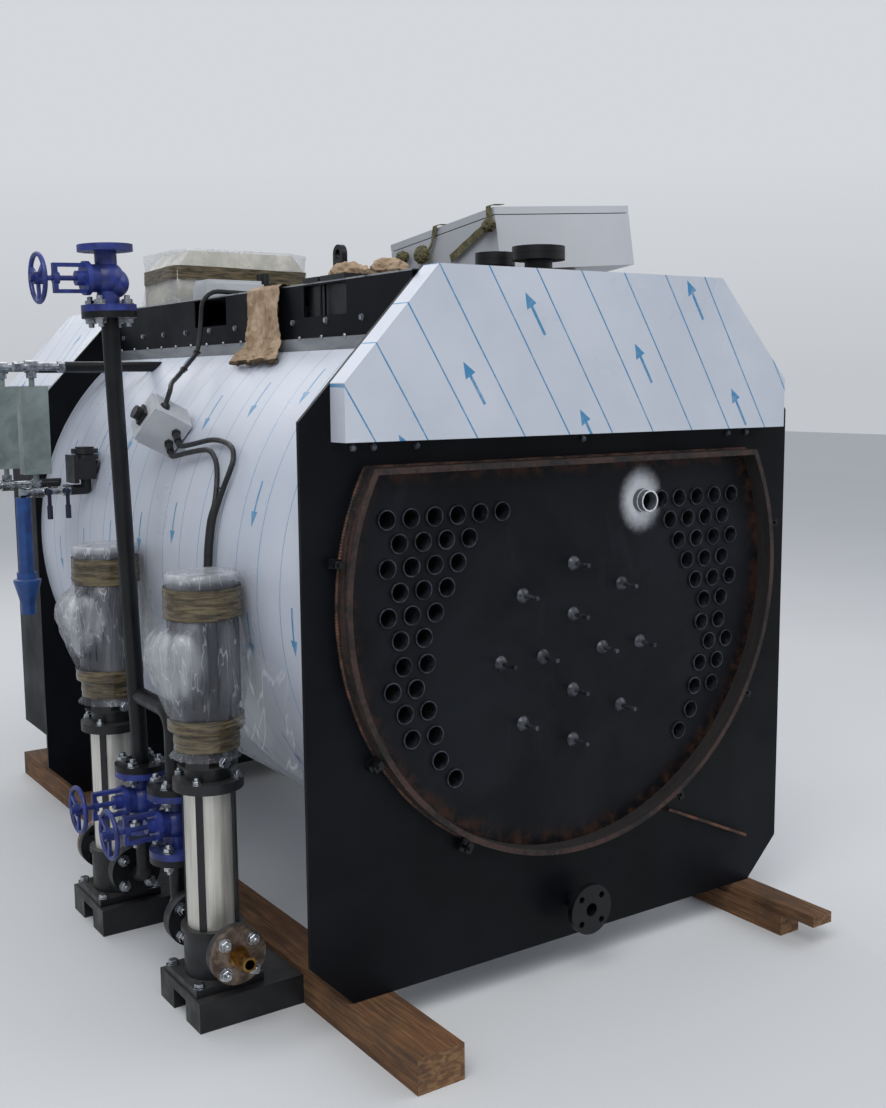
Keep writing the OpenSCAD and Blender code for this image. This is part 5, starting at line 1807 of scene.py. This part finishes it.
@dataclass
class Bunch:
    """Bunched webbing or crumpled cloth: a ball pressed in along ridges.

    Args:
        name: the piece's name.
        place: its middle.
        size: its radius.
        squash: its stretch along X, Y and Z.
        finish: its finish.
        full: its radius before it is pressed in, as a share of its size.
        ridges: width, seed and height of its coarse and of its fine ridges.
        smooth: shading angle in degrees.
        floor_z: height that it lies flat on, if any.
    """

    name: str
    place: Place
    size: float
    squash: Place
    finish: Coat
    full: float
    ridges: tuple[Place, Place]
    smooth: float
    floor_z: float = -1.0

    def build(self) -> None:
        """Makes and ships it."""
        ball = begin(bpy.ops.mesh.primitive_ico_sphere_add, subdivisions=5, radius=1.0)
        for vertex in ball.data.vertices:
            way = vertex.co.normalized()
            out = self.full + sum(high * abs(ruffle(way, wide, seed)) for wide, seed, high in self.ridges)
            spot = Vector(self.place) + way * Vector(self.squash) * self.size * out
            spot.z = max(spot.z, self.floor_z)
            vertex.co = spot
        complete(ball, self.name, self.finish, self.smooth)


@dataclass
class CabinetStraps:
    """Olive ratchet straps knotted at the lying cabinet's left side.

    Args:
        wide: width of the webbing.
        thick: its thickness.
        ways: name and middle line of each strap.
        across: directions of each strap's width, at each of its points.
        knots: name, place, radius, stretch and seed of each knot.
    """

    wide: float = 0.026
    thick: float = 0.0016
    ways: tuple[tuple[str, tuple[Place, ...]], ...] = (
        ("corner_strap", ((0.190, 0.575, 2.0795), (0.150, 0.572, 2.0762), (0.1335, 0.570, 2.070),
                          (0.1325, 0.565, 2.045), (0.132, 0.560, 2.020))),
        ("side_strap", ((0.130, 0.566, 2.014), (0.130, 0.620, 1.993), (0.132, 0.700, 1.960), (0.135, 0.775, 1.930))),
        ("back_strap", ((0.190, 0.868, 2.0500), (0.150, 0.862, 2.0470), (0.1315, 0.856, 2.040),
                        (0.131, 0.866, 2.005), (0.132, 0.890, 1.968))))
    across: tuple[tuple[Place, ...], ...] = (
        ((0, 1, 0),) * 5, ((0, 0.35, 0.94),) * 4, ((0, 1, 0),) * 3 + ((0.15, 0.9, -0.3),) * 2)
    knots: tuple[tuple[str, Place, float, Place, float], ...] = (
        ("corner_knot", (0.118, 0.545, 2.010), 0.024, (0.7, 1.3, 0.9), 1.0),
        ("back_knot", (0.119, 0.915, 1.955), 0.034, (0.55, 1.2, 0.9), 2.0),
        ("far_knot", (0.121, 1.035, 1.958), 0.027, (0.6, 1.3, 0.8), 5.0))

    def strap(self, name: str, way: Sequence[Place], across: Sequence[Place]) -> None:
        """Makes one length of webbing.

        Args:
            name: the piece's name.
            way: its middle line.
            across: direction of its width at each point.
        """
        points = [Vector(p) for p in way]
        widths = [Vector(a).normalized() for a in across]

        def at(u: float, v: float) -> Vector:
            """Finds a place on the strap.

            Args:
                u: share of the way across it.
                v: share of the way along it.

            Returns:
                The place.
            """
            steps = v * (len(points) - 1)
            k = min(int(steps), len(points) - 2)
            spot = points[k].lerp(points[k + 1], steps - k)
            wide = widths[k].lerp(widths[k + 1], steps - k).normalized()
            curl = 0.0016 * math.sin(v * 21) * (u - 0.5)
            return spot + wide * (u - 0.5) * self.wide - RIGHT * curl

        web = weave(name, 12 * (len(points) - 1), 6, at)
        thicken(web, self.thick)
        complete(web, name, OLIVE_WEB, 60)

    def build(self) -> None:
        """Makes the straps and knots."""
        for (name, way), across in zip(self.ways, self.across):
            self.strap(name, way, across)
        for name, place, size, squash, seed in self.knots:
            ridges = ((0.55, seed, -0.34), (0.22, seed + 3, 0.16))
            Bunch(name, place, size, squash, OLIVE_WEB, 0.96, ridges, 70).build()


@dataclass
class Crumples:
    """Crumpled tan packing cloth left on the deck.

    Args:
        deck_z: height of the deck.
        heaps: place on the deck and radius of each heap.
    """

    deck_z: float = 1.8173
    heaps: tuple[Place, ...] = (
        (-0.325, 0.610, 0.048), (-0.340, 0.375, 0.042), (-0.300, 0.470, 0.036), (0.085, 0.905, 0.040))

    def build(self) -> None:
        """Makes the heaps, flat where they lie on the deck."""
        for count, (x, y, size) in enumerate(self.heaps):
            ridges = ((0.6, count + 0.5, -0.33), (0.24, count + 7.0, -0.20))
            Bunch("packing_cloth_%d" % (count + 1), (x, y, self.deck_z + size * 0.62), size, (1.5, 1.0, 0.9),
                  RAG, 1.04, ridges, 50, self.deck_z + 0.0004).build()


def main() -> None:
    """Builds the looks in order."""
    logging.basicConfig(level=logging.INFO, format="%(name)s %(message)s")
    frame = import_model()
    deselect()
    Studio().build()
    dress_cad(frame["nodes"])
    FlangeBolts().build()
    RimWeld().build()
    DeckFasteners().build()
    PumpWrap("near", NEAR_Y, 0.034, NEAR_BAG_FILM, tail=True).build()
    PumpWrap("far", FAR_Y, 0.036, FAR_BAG_FILM).build()
    CaseWrap().build()
    Rag().build()
    CabinetStraps().build()
    Crumples().build()
    SmallHardware().build()


if __name__ == "__main__":
    main()
